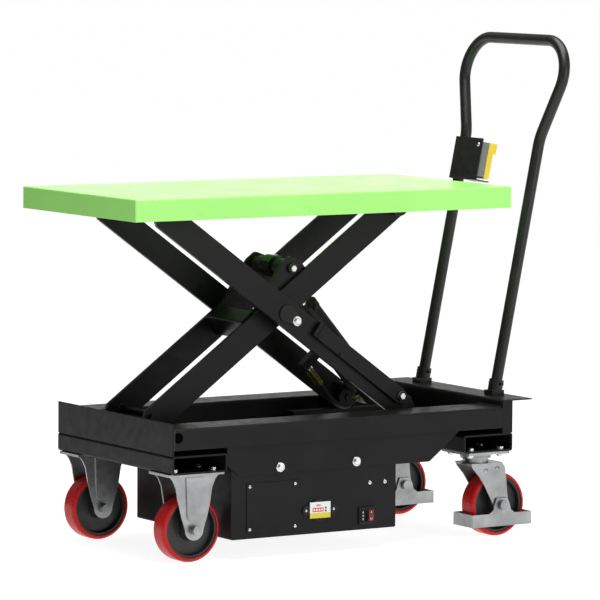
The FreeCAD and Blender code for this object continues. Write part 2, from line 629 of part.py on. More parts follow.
def end_plate():
    y = ("0 - HalfWidth", "HalfWidth")
    x = (f"{FRONT} + ChassisFront", f"{FRONT} + ChassisFront + Gauge")
    keep(span(x, y, ("EndPlateFoot", "EndPlateTop")), "front_end_plate")


def caster_channels():
    """Open-ended rectangular tubes across the chassis, drilled for the casters' bolts."""
    channels = []
    for front, rear, centre, pitch_x, pitch_y in (
            ("ChassisFront", "FrontChannelRear", "FixedX", "FixedPitchX", "FixedPitchY"),
            ("RearChannelFront", "ChassisRear", "SwivelX", "SwivelPitchX", "SwivelPitchY")):
        outline = [(front, "ChannelFoot"), (rear, "ChannelFoot"), (rear, "FloorHeight"),
                   (front, "FloorHeight")]
        inner = [(f"{front} + Gauge", "ChannelFoot + Gauge"), (f"{rear} - Gauge", "ChannelFoot + Gauge"),
                 (f"{rear} - Gauge", "FloorHeight - Gauge"), (f"{front} + Gauge", "FloorHeight - Gauge")]
        profile = plate("XZ_Plane", outline, "2 * HalfWidth", (FRONT, "0", "0"),
                        rounds=[((0, 1, 2, 3), "RailBend")])
        hollow = plate("XZ_Plane", inner, "2 * HalfWidth + 2", (FRONT, "0", "0"),
                       rounds=[((0, 1, 2, 3), "RailBend - Gauge")])
        holes = [rod((f"{FRONT} + {centre} + {sx} * {pitch_x} / 2",
                      f"{side} * WheelSide + {sy} * {pitch_y} / 2",
                      "ChannelFoot - 1"), "CasterBolt", "Gauge + 2", "z")
                 for side in (-1, 1) for sx in (-1, 1) for sy in (-1, 1)]
        channels.append(cut(profile, hollow, *holes))
    keep(group(*channels), "caster_channels")


def rear_shelf():
    """Bent sheet: an upright web across the chassis and a flange reaching back under the handle."""
    outline = [("RailRear", "FloorHeight"), ("RailRear + ShelfSheet", "FloorHeight"),
               ("RailRear + ShelfSheet", "ShelfTop - ShelfSheet"), ("ShelfRear", "ShelfTop - ShelfSheet"),
               ("ShelfRear", "ShelfTop"), ("RailRear", "ShelfTop")]
    sheet_part = plate("XZ_Plane", outline, "2 * HalfWidth", (FRONT, "0", "0"),
                       rounds=[((5,), "RailBend"), ((2,), "RailBend - ShelfSheet")])
    caps = []
    for _, sign in SIDES:
        low = "HalfWidth - ShelfSheet" if sign > 0 else "0 - HalfWidth"
        caps.append(box((f"{FRONT} + RailRear + ShelfSheet", low, "FloorHeight"),
                        ("ChassisRear - RailRear - ShelfSheet", "ShelfSheet",
                         "ShelfTop - ShelfSheet - FloorHeight")))
    keep(fuse(sheet_part, *caps), "rear_shelf")


def base_lugs():
    """Lugs that hold the inner arms' lower pins, on a cross bar between the rails, with the pins."""
    lugs = []
    pins = []
    top = "(FloorHeight + Gauge - PivotHeight)"
    outline = [("0 - LugHalf - 6", top), ("LugHalf + 6", top), ("LugHalf", "0"), ("LugHalf / 2", "LugHalf"),
               ("0 - LugHalf / 2", "LugHalf"), ("0 - LugHalf", "0")]
    for _, sign in SIDES:
        side = f"{sign} * (BaseLugFace - LugPlate / 2)"
        lugs.append(plate("XZ_Plane", outline, "LugPlate", (PIVOT_X, side, "PivotHeight"),
                          holes=[("0", "0", "PinRadius")]))
        low = "InnerArmFace - ArmPlate - 2" if sign > 0 else "0 - BaseLugFace - 2"
        pins.append(rod((PIVOT_X, low, "PivotHeight"), "PinRadius",
                        "BaseLugFace - InnerArmFace + ArmPlate + 4"))
    bar = span((f"{PIVOT_X} - LugHalf - 6", f"{PIVOT_X} + LugHalf + 6"), ("0 - FloorEdge", "FloorEdge"),
               ("FloorHeight", "FloorHeight + Gauge"))
    keep(group(bar, *lugs, *pins), "base_lugs")


# ---------------------------------------------------------------- power box
def hanger_plates():
    outline = [("HangerFront", "HangerShoulder"), ("HangerCutFront", "HangerFoot"),
               ("HangerCutRear", "HangerFoot"), ("HangerBreak", "HangerShoulder"), ("HangerRear",
                                                                                    "RailFoot"),
               ("HangerRear", "HangerTop"), ("HangerFront", "HangerTop")]
    pieces = []
    for _, sign in SIDES:
        side = f"{sign} * (HalfWidth - Gauge - HangerSheet / 2)"
        pieces.append(plate("XZ_Plane", outline, "HangerSheet", (FRONT, side, "0"),
                            rounds=[((1, 2), "8")]))
    keep(group(*pieces), "hanger_plates")


def hanger_bolts():
    """Bolts with washers on the hangers' outer faces."""
    bolts = []
    for x in ("HangerBoltFront", "HangerBoltRear"):
        for _, sign in SIDES:
            low = "HalfWidth - Gauge" if sign > 0 else "0 - HalfWidth + Gauge - BoltHead - 2"
            washer_low = "HalfWidth - Gauge" if sign > 0 else "0 - HalfWidth + Gauge - 2"
            head = rod((f"{FRONT} + {x}", low, "HangerBoltHeight"), "CasterHead", "BoltHead + 2")
            washer = rod((f"{FRONT} + {x}", washer_low, "HangerBoltHeight"), "CasterHead + 3", "2")
            bolts.append(fuse(head, washer))
    return bolts


def power_box():
    """Open folded box with a separate cover plate that also ties the two hangers together."""
    x = (f"{FRONT} + BoxFront", f"{FRONT} + BoxRear")
    left = f"0 - {BOX_FACE}"
    outline = [("BoxFront", "BoxFoot"), ("BoxRear", "BoxFoot"), ("BoxRear", "BoxTop"),
               ("BoxFront", "BoxTop")]
    middle = f"(BoxRight - {BOX_FACE}) / 2"
    shell = plate("XZ_Plane", outline, f"BoxRight + {BOX_FACE}", (FRONT, middle, "0"),
                  rounds=[((0, 1), "TableBend")])
    hollow = span((f"{x[0]} + BoxSheet", f"{x[1]} - BoxSheet"),
                  (f"{left} + BoxSheet", "BoxRight - BoxSheet"),
                  ("BoxFoot + BoxSheet", "BoxTop + 1"))
    keep(cut(shell, hollow), "power_box")
    keep(span(x, (left, BOX_FACE), ("BoxTop", "BoxTop + BoxSheet")), "box_cover")

    panel = span((f"{FRONT} + PanelFront", f"{FRONT} + PanelRear"), (f"{left} - PanelSheet", left),
                 ("PanelFoot", "PanelTop"))
    keep(panel, "access_panel")
    screws = [rod((f"{FRONT} + {px}", f"{left} - PanelSheet - ScrewHead", pz), "ScrewRadius", "ScrewHead")
              for px in ("PanelFront + PanelInset", "PanelRear - PanelInset")
              for pz in ("PanelFoot + PanelInset", "PanelTop - PanelInset")]
    screws += [rod((f"{FRONT} + {px}", f"{left} - ScrewHead", "UpperScrewHeight"), "ScrewRadius + 1",
                   "ScrewHead")
               for px in ("UpperScrewFront", "UpperScrewRear")]
    screws += [rod((f"{FRONT} + GaugeX + {s} * (BezelHalf - 9)", f"{left} - BezelDepth - ScrewHead / 2",
                    "GaugeHeight"), "ScrewRadius - 1", "ScrewHead / 2") for s in (-1, 1)]
    holder_screw = group(rod(("0 - TubeRadius - HolderSheet - ScrewHead", "HolderInner + 14",
                              "HolderHigh - 16"),
                             "ScrewRadius + 1", "ScrewHead", "x"))
    keep(group(*screws, place(holder_screw, HANDLE_AT, HANDLE_TURN)), "small_screws")


def gauge_and_inlet():
    left = f"0 - {BOX_FACE}"
    face = f"{left} - BezelDepth"
    disc = rod((f"{FRONT} + GaugeX", face, "GaugeHeight"), "BezelRadius + 2", "BezelDepth")
    bar = span((f"{FRONT} + GaugeX - BezelHalf + BezelEar", f"{FRONT} + GaugeX + BezelHalf - BezelEar"),
               (face, left), ("GaugeHeight - BezelEar", "GaugeHeight + BezelEar"))
    ears = [rod((f"{FRONT} + GaugeX + {s} * (BezelHalf - BezelEar)", face, "GaugeHeight"), "BezelEar",
                "BezelDepth") for s in (-1, 1)]
    keep(fuse(disc, bar, *ears), "gauge_bezel")
    x = (f"{FRONT} + InletFront", f"{FRONT} + InletRear")
    body = span(x, (f"{left} - InletDepth", left), ("InletFoot", "InletTop"))
    middle = "(InletFoot + InletTop) / 2"
    socket = span((f"{x[0]} + 4", f"{x[0]} + 4 + SocketWidth"), (f"{left} - InletDepth - 1", f"{left} - 1"),
                  (f"{middle} - 13", f"{middle} + 13"))
    well = span((f"{x[1]} - 3 - SwitchWidth - 1", f"{x[1]} - 3 + 0"),
                (f"{left} - InletDepth - 1", f"{left} - 0.5"),
                (f"{middle} - SwitchHeight / 2 - 1", f"{middle} + SwitchHeight / 2 + 1"))
    keep(cut(body, socket, well), "charge_inlet")
    tall = "SwitchHeight / 2"
    rocker = [("0", f"0 - {tall} + 1"), ("0 - 3.4", f"0 - {tall}"), ("0 - 4.6", "0"), ("0 - 3.4", tall),
              ("0", f"{tall} - 1")]
    switch = plate("YZ_Plane", rocker, "SwitchWidth - 1",
                   (f"{x[1]} - 3.5 - SwitchWidth / 2", f"{left} - 2.2", middle))
    keep(switch, "rocker_switch")


def inside_the_box():
    left = f"0 - {BOX_FACE}"
    floor = "BoxFoot + BoxSheet"
    cells = []
    for index in (0, 1):
        low = f"0 - BatteryFace + {index} * (BatteryWidth + BatteryGap)"
        cells.append(box((f"{FRONT} + BatteryX", low, floor),
                         ("BatteryLength", "BatteryWidth", "BatteryHeight")))
    keep(group(*cells), "batteries")
    motor = rod((f"{FRONT} + MotorX", "0 - MotorSide", "MotorHeight"), "MotorRadius", "MotorLength", "x")
    block = box((f"{FRONT} + MotorX + MotorLength", "0 - MotorSide - BlockHalf", floor),
                ("BlockLength", "2 * BlockHalf", f"MotorHeight + BlockHalf - ({floor})"))
    tank = box((f"{FRONT} + TankX", "TankSide", floor), ("TankLength", "TankWidth", "TankHeight"))
    keep(group(fuse(motor, block), tank), "pump_unit")


# ---------------------------------------------------------------- casters
def fixed_leg():
    half = [("FixedPlateHalf - 4", "ChannelFoot - 2"), ("55", "188"), ("47", "170"), ("41", "135"),
            ("34", "105")]
    right = [("ForkRound", "WheelRadius")] + half[::-1]
    outline = right + [(f"0 - ({x})", z) for x, z in right[::-1]]
    return outline


def wheels():
    """Tread and core of each wheel, turned about the wheel's axis."""
    half = "WheelWidth / 2"
    tread = [(f"0 - {half}", "CoreRadius"), (half, "CoreRadius"), (half, "WheelRadius - TreadShoulder"),
             (f"{half} - TreadShoulder * 0.35", "WheelRadius - TreadShoulder * 0.35"),
             (f"{half} - TreadShoulder", "WheelRadius"), (f"0 - {half} + TreadShoulder", "WheelRadius"),
             (f"0 - {half} + TreadShoulder * 0.35", "WheelRadius - TreadShoulder * 0.35"),
             (f"0 - {half}", "WheelRadius - TreadShoulder")]
    bore = "AxleRadius + WheelPlay"
    rim = "CoreRimWidth / 2"
    web = "CoreWebWidth / 2"
    hub = "HubWidth / 2"
    one_side = [(hub, bore), (hub, "HubRadius"), (web, "HubRadius + 4"), (web, "CoreRadius - CoreRim - 2"),
                (rim, "CoreRadius - CoreRim"), (rim, "CoreRadius")]
    core = one_side + [(f"0 - {x}", r) for x, r in one_side[::-1]]
    spots = (("front", "FixedX"), ("rear", "SwivelX + SwivelTrail"))
    for end, x in spots:
        for name, sign in SIDES:
            at = (f"{FRONT} + {x}", f"{sign} * WheelSide", "WheelRadius")
            keep(turned(tread, at), f"{end}_tread_{name}")
            keep(turned(core, at), f"{end}_core_{name}")


def wheel_axle(x, sign, head_radius):
    """Axle bolt through both fork legs, with its head outboard."""
    reach = "ForkGap + ForkSheet + RibDepth + GuardSheet + 2"
    shank = rod((x, f"{sign} * WheelSide - ({reach})", "WheelRadius"), "AxleRadius", f"2 * ({reach})")
    heads = [rod((x, f"{sign} * WheelSide + ({reach})", "WheelRadius"), head_radius, "AxleHeadTall"),
             rod((x, f"{sign} * WheelSide - ({reach}) - AxleHeadTall", "WheelRadius"), head_radius,
                 "AxleHeadTall")]
    return fuse(shank, *heads)


def axle_hole(x, centre):
    """Cutter for the axle's holes through both legs of a fork."""
    reach = "(ForkGap + 3 * ForkSheet)"
    return rod((x, f"{centre} - {reach}", "WheelRadius"), "AxleRadius", f"2 * {reach}")


def fixed_casters():
    axles = []
    forks = []
    x = f"{FRONT} + FixedX"
    for _, sign in SIDES:
        centre = f"{sign} * WheelSide"
        legs = []
        for leg in (-1, 1):
            side = f"{centre} + {leg} * (ForkGap + ForkSheet / 2)"
            legs.append(plate("XZ_Plane", fixed_leg(), "ForkSheet", (x, side, "0")))
            low = f"{centre} + {leg} * (ForkGap + ForkSheet + RibDepth / 2)"
            rib = [("0 - RibHalf", "CrownTop - 80"), ("RibHalf", "CrownTop - 80"),
                   ("RibHalf + 4", "ChannelFoot - 10"),
                   ("0 - RibHalf - 4", "ChannelFoot - 10")]
            legs.append(plate("XZ_Plane", rib, "RibDepth", (x, low, "0"), rounds=[((0, 1), "12")]))
            legs.append(rod((x, f"{side} - ForkSheet / 2", "WheelRadius"), "ForkRound", "ForkSheet"))
        plate_low = f"{centre} - FixedPlateWidth"
        top = box((f"{x} - FixedPlateHalf", plate_low, "ChannelFoot - ForkPlate"),
                  ("2 * FixedPlateHalf", "2 * FixedPlateWidth", "ForkPlate"))
        holes = [rod((f"{x} + {sx} * FixedPitchX / 2", f"{centre} + {sy} * FixedPitchY / 2",
                      "ChannelFoot - 2 * ForkPlate"), "CasterBolt", "3 * ForkPlate", "z")
                 for sx in (-1, 1) for sy in (-1, 1)]
        holes.append(axle_hole(x, centre))
        forks.append(cut(fuse(top, *legs), *holes))
        axles.append(wheel_axle(x, sign, "AxleHead"))
    keep(group(*forks), "fixed_forks")
    keep(group(*axles), "fixed_axles")


def swivel_casters():
    plates = []
    x = f"{FRONT} + SwivelX"
    wheel_x = f"{FRONT} + SwivelX + SwivelTrail"
    leg_outline = [("22", "WheelRadius"), ("18", "100"), ("14", "140"), ("11", "163"), ("2", "CrownTop"),
                   ("0 - SwivelTrail - 34", "CrownTop"), ("0 - 80", "165"), ("0 - 63", "146"), ("0 - 47",
                                                                                                "122"),
                   ("0 - 33", "96"), ("0 - 22", "WheelRadius")]
    for name, sign in SIDES:
        centre = f"{sign} * WheelSide"
        top = box((f"{x} - SwivelPlateHalf", f"{centre} - SwivelPlateHalf", "ChannelFoot - ForkPlate"),
                  ("2 * SwivelPlateHalf", "2 * SwivelPlateHalf", "ForkPlate"))
        race = rod((x, centre, "ChannelFoot - ForkPlate - RaceHeight"), "RaceRadius", "RaceHeight", "z")
        holes = [rod((f"{x} + {sx} * SwivelPitchX / 2", f"{centre} + {sy} * SwivelPitchY / 2",
                      "ChannelFoot - 2 * ForkPlate"), "CasterBolt", "3 * ForkPlate", "z")
                 for sx in (-1, 1) for sy in (-1, 1)]
        plates.append(cut(fuse(top, race), *holes))

        legs = []
        for leg in (-1, 1):
            side = f"{centre} + {leg} * (ForkGap + ForkSheet / 2)"
            legs.append(plate("XZ_Plane", leg_outline, "ForkSheet", (wheel_x, side, "0")))
            legs.append(rod((wheel_x, f"{side} - ForkSheet / 2", "WheelRadius"), "GuardNeck", "ForkSheet"))
        crown = box((f"{x} - 34", f"{centre} - ForkGap - ForkSheet", "CrownTop - ForkSheet"),
                    ("SwivelTrail + 36", "2 * (ForkGap + ForkSheet)", "ForkSheet"))
        disc = rod((x, centre, "CrownTop - ForkSheet"), "CrownRadius", "ForkSheet", "z")
        collar = rod((x, centre, "CrownTop"), "RaceRadius - 6",
                     "ChannelFoot - ForkPlate - RaceHeight - CrownTop - 0.3",
                     "z")
        keep(cut(fuse(crown, disc, collar, *legs), axle_hole(wheel_x, centre)), f"swivel_fork_{name}")
        keep(wheel_axle(wheel_x, sign, "AxleHead"), f"swivel_axle_{name}")

        outer = span((f"{wheel_x} - GuardHalf", f"{wheel_x} + GuardHalf"),
                     (f"{centre} - GuardWidth", f"{centre} + GuardWidth"), ("GuardFoot",
                                                                            "GuardFoot + GuardTall"))
        inner = span((f"{wheel_x} - GuardHalf + GuardSheet", f"{wheel_x} + GuardHalf - GuardSheet"),
                     (f"{centre} - GuardWidth + GuardSheet", f"{centre} + GuardWidth - GuardSheet"),
                     ("GuardFoot - 1", "GuardFoot + GuardTall + 1"))
        ring = cut(outer, inner)
        ears = []
        neck = [("0 - GuardNeck - 14", "GuardFoot + GuardTall"),
                ("GuardNeck + 14", "GuardFoot + GuardTall"),
                ("GuardNeck + 3", "GuardFoot + GuardTall + 8"), ("GuardNeck", "WheelRadius"),
                ("GuardNeck - 7", "WheelRadius + 17"), ("7 - GuardNeck", "WheelRadius + 17"),
                ("0 - GuardNeck", "WheelRadius"), ("0 - GuardNeck - 3", "GuardFoot + GuardTall + 8")]
        for leg in (-1, 1):
            side = f"{centre} + {leg} * (GuardWidth - GuardSheet / 2)"
            ears.append(plate("XZ_Plane", neck, "GuardSheet", (wheel_x, side, "0"),
                              holes=[("0", "WheelRadius", "AxleRadius")]))
        keep(fuse(ring, *ears), f"foot_guard_{name}")
    keep(group(*plates), "swivel_plates")


def chassis_bolts():
    """The hangers' bolts, and the casters': tapped into the fixed plates, with nuts under the swivel plates."""
    bolts = hanger_bolts()
    plate_foot = "ChannelFoot - ForkPlate"
    for centre, pitch_x, pitch_y, nut in (("FixedX", "FixedPitchX", "FixedPitchY", "0"),
                                          ("SwivelX", "SwivelPitchX", "SwivelPitchY", "CasterHeadTall")):
        for side, sx, sy in itertools.product((-1, 1), repeat=3):
            x = f"{FRONT} + {centre} + {sx} * {pitch_x} / 2"
            y = f"{side} * WheelSide + {sy} * {pitch_y} / 2"
            pieces = [rod((x, y, f"{plate_foot} - {nut}"), "CasterBolt", f"Gauge + ForkPlate + {nut}", "z"),
                      rod((x, y, "ChannelFoot + Gauge"), "CasterHead", "CasterHeadTall", "z")]
            if nut != "0":
                pieces.append(rod((x, y, f"{plate_foot} - {nut}"), "CasterHead", nut, "z"))
            bolts.append(fuse(*pieces))
    keep(group(*bolts), "chassis_bolts")


# ---------------------------------------------------------------- handle
def on_handle(side, height, forward="0"):
    """Place expressions for a point of the leaning handle frame."""
    return (f"{FRONT} + HandleX + ({height}) * sin(HandleLean) + ({forward}) * cos(HandleLean)", side,
            f"ShelfTop + ({height}) * cos(HandleLean) - ({forward}) * sin(HandleLean)")


def push_handle():
    """Bent tube: two posts, a kink outwards on each, and the bow across the top."""
    side = number("PostSide")
    kink = number("KinkHeight")
    bar = number("BarHeight")
    corner = side + (bar - kink) * math.tan(math.radians(number("FlareAngle")))
    half = [Vector(0, side, number("CollarTall / 3")), Vector(0, side, kink), Vector(0, corner, bar)]
    points = half + [Vector(0, -point.y, point.z) for point in reversed(half)]
    bend, bow = number("KinkRadius"), number("BowRadius")
    path = bent_wire(points, [bend, bow, bow, bend])
    item = doc.addObject("Part::Feature", "Handle")
    tube_shape = swept(path, number("TubeRadius")).cut(swept(path, number("TubeRadius - TubeWall")))
    pin_start = Vector(0, -side - number("CrossPinHalf"), number("CrossPinHeight"))
    pin_length = 2 * (side + number("CrossPinHalf"))
    item.Shape = tube_shape.cut(Part.makeCylinder(number("CrossPin"), pin_length, pin_start,
                                                  Vector(0, 1, 0)))
    place(item, HANDLE_AT, HANDLE_TURN)
    keep(item, "push_handle")


def handle_feet():
    """Square sockets on the shelf with a collar round each post, and the pins through them."""
    sockets = []
    pins = []
    for _, sign in SIDES:
        side = f"{sign} * PostSide"
        base = box((f"{FRONT} + HandleX - SocketHalf", f"{side} - SocketHalf", "ShelfTop"),
                   ("2 * SocketHalf", "2 * SocketHalf", "SocketTall"))
        collar = rod(on_handle(side, "2"), "CollarRadius", "CollarTall", "z")
        collar.Placement = Placement(collar.Placement.Base, HANDLE_TURN)
        hollow = rod(on_handle(side, "0 - 8"), "TubeRadius", "3 * CollarTall", "z")
        hollow.Placement = Placement(hollow.Placement.Base, HANDLE_TURN)
        floor = span((f"{FRONT} + HandleX - 60", f"{FRONT} + HandleX + 60"), ("0 - 240", "240"),
                     ("ShelfTop - 40", "ShelfTop"))
        sockets.append(cut(fuse(base, collar), hollow, floor))
        pin_side = f"{side} - CrossPinHalf"
        pins.append(rod(on_handle(pin_side, "CrossPinHeight"), "CrossPin", "2 * CrossPinHalf"))
    keep(group(*sockets, *pins), "handle_sockets")


def hand_control():
    """Holder plate on the right post, with the control box behind it and two push buttons."""
    outer = "PostSide + TubeRadius"
    front = "0 - TubeRadius - HolderSheet"
    face = span((front, "0 - TubeRadius"), ("HolderInner", outer), ("HolderLow", "HolderHigh"))
    lip = span((front, "6"), (outer, f"{outer} + HolderSheet"), ("HolderLow", "HolderHigh"))
    shelf = span(("0 - TubeRadius", "0 - TubeRadius + ControlDepth + CoverDepth"),
                 ("HolderInner", "HolderInner + ControlWidth"), ("HolderLow", "HolderLow + HolderSheet"))
    holder = fuse(face, lip, shelf)
    y = ("ControlInner", "ControlInner + ControlWidth")
    back = "0 - TubeRadius"
    split = f"{back} + ControlDepth"
    middle = "ControlInner + ControlWidth / 2"
    case = cut(span((back, split), y, ("ControlLow", "ControlHigh")),
               span((f"{back} + 3", f"{split} + 1"), (f"{y[0]} + 3", f"{y[1]} - 3"),
                    ("ControlLow + 3", "ControlHigh - 3")))
    lid = fuse(span((split, f"{split} + CoverDepth"), y, ("ControlLow - 2", "ControlHigh + 1")),
               span((split, f"{split} + CoverHead"), y, ("ControlHigh - CoverHeadTall", "ControlHigh + 1")))
    spots = [f"ButtonMiddle + {s} * ButtonSpread" for s in (-1, 1)]
    wells = [rod((f"{split} - 1", middle, spot), "ButtonRadius + ButtonPlay", "CoverHead + 4",
                 "x") for spot in spots]
    pieces = [("control_holder", holder), ("control_case", case), ("control_cover", cut(lid, *wells))]
    for name, spot in zip(("down_button", "up_button"), spots):
        pieces.append((name, rod((f"{split} + CoverDepth - ButtonIn", middle, spot), "ButtonRadius",
                                 "ButtonIn + ButtonOut", "x")))
    for name, item in pieces:
        carrier = group(item)
        place(carrier, HANDLE_AT, HANDLE_TURN)
        keep(carrier, name)


def check_and_write():
    """Stop on any failed feature, then write one STEP file per sub-part."""
    doc.recompute()
    failed = [item.Name for item in doc.Objects if {"Invalid", "Error"} & set(item.State)]
    if failed:
        raise RuntimeError("failed features: " + ", ".join(failed))
    os.makedirs("parts", exist_ok=True)
    for item in nodes:
        if item.Shape.isNull() or not item.Shape.isValid() or not item.Shape.Solids:
            raise RuntimeError("bad shape: " + item.Label)
        item.Shape.exportStep(f"parts/{item.Label}.step")
    print(len(nodes), "sub-parts written")


for build in (table_top, table_tracks, scissor_arms, cross_members, centre_pins, rollers,
              cylinder_lugs, cylinder, maintenance_prop, side_rails, roller_tracks, end_plate,
              caster_channels,
              rear_shelf, base_lugs, hanger_plates, power_box, gauge_and_inlet, inside_the_box, wheels,
              fixed_casters, swivel_casters, chassis_bolts, push_handle, handle_feet, hand_control):
    build()
check_and_write()
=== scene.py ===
import json
import math

import bmesh
import bpy
from mathutils import Matrix, Vector


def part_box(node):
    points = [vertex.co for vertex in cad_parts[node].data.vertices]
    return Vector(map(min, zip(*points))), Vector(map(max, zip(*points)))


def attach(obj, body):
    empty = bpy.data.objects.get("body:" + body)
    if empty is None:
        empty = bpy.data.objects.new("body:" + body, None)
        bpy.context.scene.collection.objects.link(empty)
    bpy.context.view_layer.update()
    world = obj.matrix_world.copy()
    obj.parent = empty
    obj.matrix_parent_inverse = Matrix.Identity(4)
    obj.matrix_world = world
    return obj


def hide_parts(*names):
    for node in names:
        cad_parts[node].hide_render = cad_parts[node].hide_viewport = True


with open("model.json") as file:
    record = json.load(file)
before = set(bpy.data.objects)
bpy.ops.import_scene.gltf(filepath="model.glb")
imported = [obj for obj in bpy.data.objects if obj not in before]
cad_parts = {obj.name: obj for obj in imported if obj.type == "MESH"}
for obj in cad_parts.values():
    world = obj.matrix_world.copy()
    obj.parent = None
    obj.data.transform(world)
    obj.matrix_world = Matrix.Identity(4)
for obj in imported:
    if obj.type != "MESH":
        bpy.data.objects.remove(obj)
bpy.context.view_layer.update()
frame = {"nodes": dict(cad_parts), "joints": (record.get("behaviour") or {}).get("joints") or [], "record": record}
NODES = frame["nodes"]
JOINTS = {joint["name"]: joint for joint in frame["joints"]}
SIDES = (("left", -1), ("right", 1))
SHARP_DEGREES = 32

# Sizes in metres that the details share with the CAD parts.
HANGER_BOLT_MOST = 0.012
SWIVEL_PLATE_DEPTH = 0.012
CASTER_HEAD = 0.007
KEEPER_ALONG = 0.031
RAIL_WEB = 0.1585
FORK_FACE = 0.0355


# ---------------------------------------------------------------- camera and studio
def make_camera():
    """The long-lens view from the front left, a little above the table top."""
    azimuth, elevation, roll = (math.radians(a) for a in (32.2972, 5.2344, -0.3680))
    back = Vector((-math.sin(azimuth) * math.cos(elevation), -math.cos(azimuth) * math.cos(elevation),
                   math.sin(elevation)))
    right = Vector((math.cos(azimuth), -math.sin(azimuth), 0))
    up = back.cross(right)
    side = right * math.cos(roll) - up * math.sin(roll)
    top = right * math.sin(roll) + up * math.cos(roll)
    data = bpy.data.cameras.new("camera")
    data.lens = 264.6
    data.sensor_width = 36
    data.clip_end = 400
    camera = bpy.data.objects.new("camera", data)
    turn = Matrix((side, top, back)).transposed().to_4x4()
    camera.matrix_world = Matrix.Translation((-5.4784, -8.6372, 1.4903)) @ turn
    bpy.context.scene.collection.objects.link(camera)
    bpy.context.scene.camera = camera


def area_light(name, place, target, size, power):
    """A softbox that the camera doesn't see."""
    data = bpy.data.lights.new(name, "AREA")
    data.shape = "RECTANGLE"
    data.size, data.size_y = size
    data.energy = power
    light = bpy.data.objects.new(name, data)
    light.location = place
    light.rotation_euler = (Vector(target) - Vector(place)).to_track_quat("-Z", "Y").to_euler()
    light.visible_camera = False
    bpy.context.scene.collection.objects.link(light)


def make_studio():
    """White floor and surroundings, softboxes above, in front and behind, and a dark flag to the left."""
    bpy.ops.mesh.primitive_plane_add(size=400)
    floor = bpy.context.object
    floor.name = "floor"
    paint = new_material("floor_paint", (0.34, 0.34, 0.34), 0.9)
    shader = paint.node_tree.nodes["Principled BSDF"]
    shader.inputs["Specular IOR Level"].default_value = 0.0
    shader.inputs["Emission Color"].default_value = (1, 1, 1, 1)
    shader.inputs["Emission Strength"].default_value = 0.90
    floor.data.materials.append(paint)
    bpy.ops.mesh.primitive_plane_add(size=6, location=(-2.4, 2.6, 2.2), rotation=(0, math.radians(90), 0))
    flag = bpy.context.object
    flag.name = "flag"
    flag.visible_camera = False
    flag.visible_shadow = False
    flag.data.materials.append(new_material("flag_cloth", (0.01, 0.01, 0.01), 0.95))
    world = bpy.data.worlds.new("studio")
    bpy.context.scene.world = world
    world.use_nodes = True
    tree = world.node_tree
    backdrop = tree.nodes["Background"]
    backdrop.inputs["Color"].default_value = (1, 1, 1, 1)
    backdrop.inputs["Strength"].default_value = 0.28
    area_light("softbox_top", (0.2, -0.3, 3.6), (0, 0, 0.5), (3.2, 2.6), 150)
    area_light("softbox_front", (1.6, -4.4, 1.8), (0, 0, 0.5), (2.2, 2.0), 42)
    area_light("softbox_rear", (4.4, 7.2, 1.5), (0, 0, 0.6), (6.5, 2.4), 48)


# ---------------------------------------------------------------- materials
def new_material(name, colour, roughness, metallic=0.0):
    """A material of one colour, for others to build on."""
    material = bpy.data.materials.new(name)
    material.use_nodes = True
    shader = material.node_tree.nodes["Principled BSDF"]
    shader.inputs["Base Color"].default_value = (*colour, 1)
    shader.inputs["Roughness"].default_value = roughness
    shader.inputs["Metallic"].default_value = metallic
    return material


def noise(tree, scale, detail=4.0, stretch=(1, 1, 1)):
    """Noise in object space, so that it stays on its piece."""
    place = tree.nodes.new("ShaderNodeTexCoord")
    mapping = tree.nodes.new("ShaderNodeMapping")
    mapping.inputs["Scale"].default_value = stretch
    texture = tree.nodes.new("ShaderNodeTexNoise")
    texture.inputs["Scale"].default_value = scale
    texture.inputs["Detail"].default_value = detail
    tree.links.new(place.outputs["Object"], mapping.inputs["Vector"])
    tree.links.new(mapping.outputs["Vector"], texture.inputs["Vector"])
    return texture.outputs["Fac"]


def spread(tree, source, low, high, start=0.3, end=0.7):
    """Maps a texture's values to a range."""
    node = tree.nodes.new("ShaderNodeMapRange")
    for key, value in zip(("From Min", "From Max", "To Min", "To Max"), (start, end, low, high)):
        node.inputs[key].default_value = value
    tree.links.new(source, node.inputs["Value"])
    return node.outputs["Result"]


def tint(tree, source, dark, light):
    """Mixes two colours by a texture."""
    node = tree.nodes.new("ShaderNodeMix")
    node.data_type = "RGBA"
    node.inputs["A"].default_value = (*dark, 1)
    node.inputs["B"].default_value = (*light, 1)
    tree.links.new(source, node.inputs["Factor"])
    return node.outputs["Result"]


def bump(tree, source, distance):
    """Raises the surface by a texture."""
    node = tree.nodes.new("ShaderNodeBump")
    node.inputs["Distance"].default_value = distance
    node.inputs["Strength"].default_value = 1.0
    tree.links.new(source, node.inputs["Height"])
    tree.links.new(node.outputs["Normal"], tree.nodes["Principled BSDF"].inputs["Normal"])


def finish_of(name, dark, light, rough, metallic=0.0, grain=(900, 0.00004), cloud=9, stretch=(1, 1, 1),
              specular=0.5, coat=0.0):
    """A material whose colour and gloss drift slowly, with a fine grain in its surface."""
    middle = [(a + b) / 2 for a, b in zip(dark, light)]
    material = new_material(name, middle, sum(rough) / 2, metallic)
    tree = material.node_tree
    shader = tree.nodes["Principled BSDF"]
    drift = noise(tree, cloud, 6, stretch)
    colour = tint(tree, spread(tree, drift, 0, 1), dark, light)
    tree.links.new(colour, shader.inputs["Base Color"])
    gloss = noise(tree, cloud * 5, 5, stretch)
    tree.links.new(spread(tree, gloss, *rough), shader.inputs["Roughness"])
    bump(tree, noise(tree, grain[0], 3, stretch), grain[1])
    shader.inputs["Specular IOR Level"].default_value = specular
    shader.inputs["Coat Weight"].default_value = coat
    shader.inputs["Coat Roughness"].default_value = 0.12
    return material


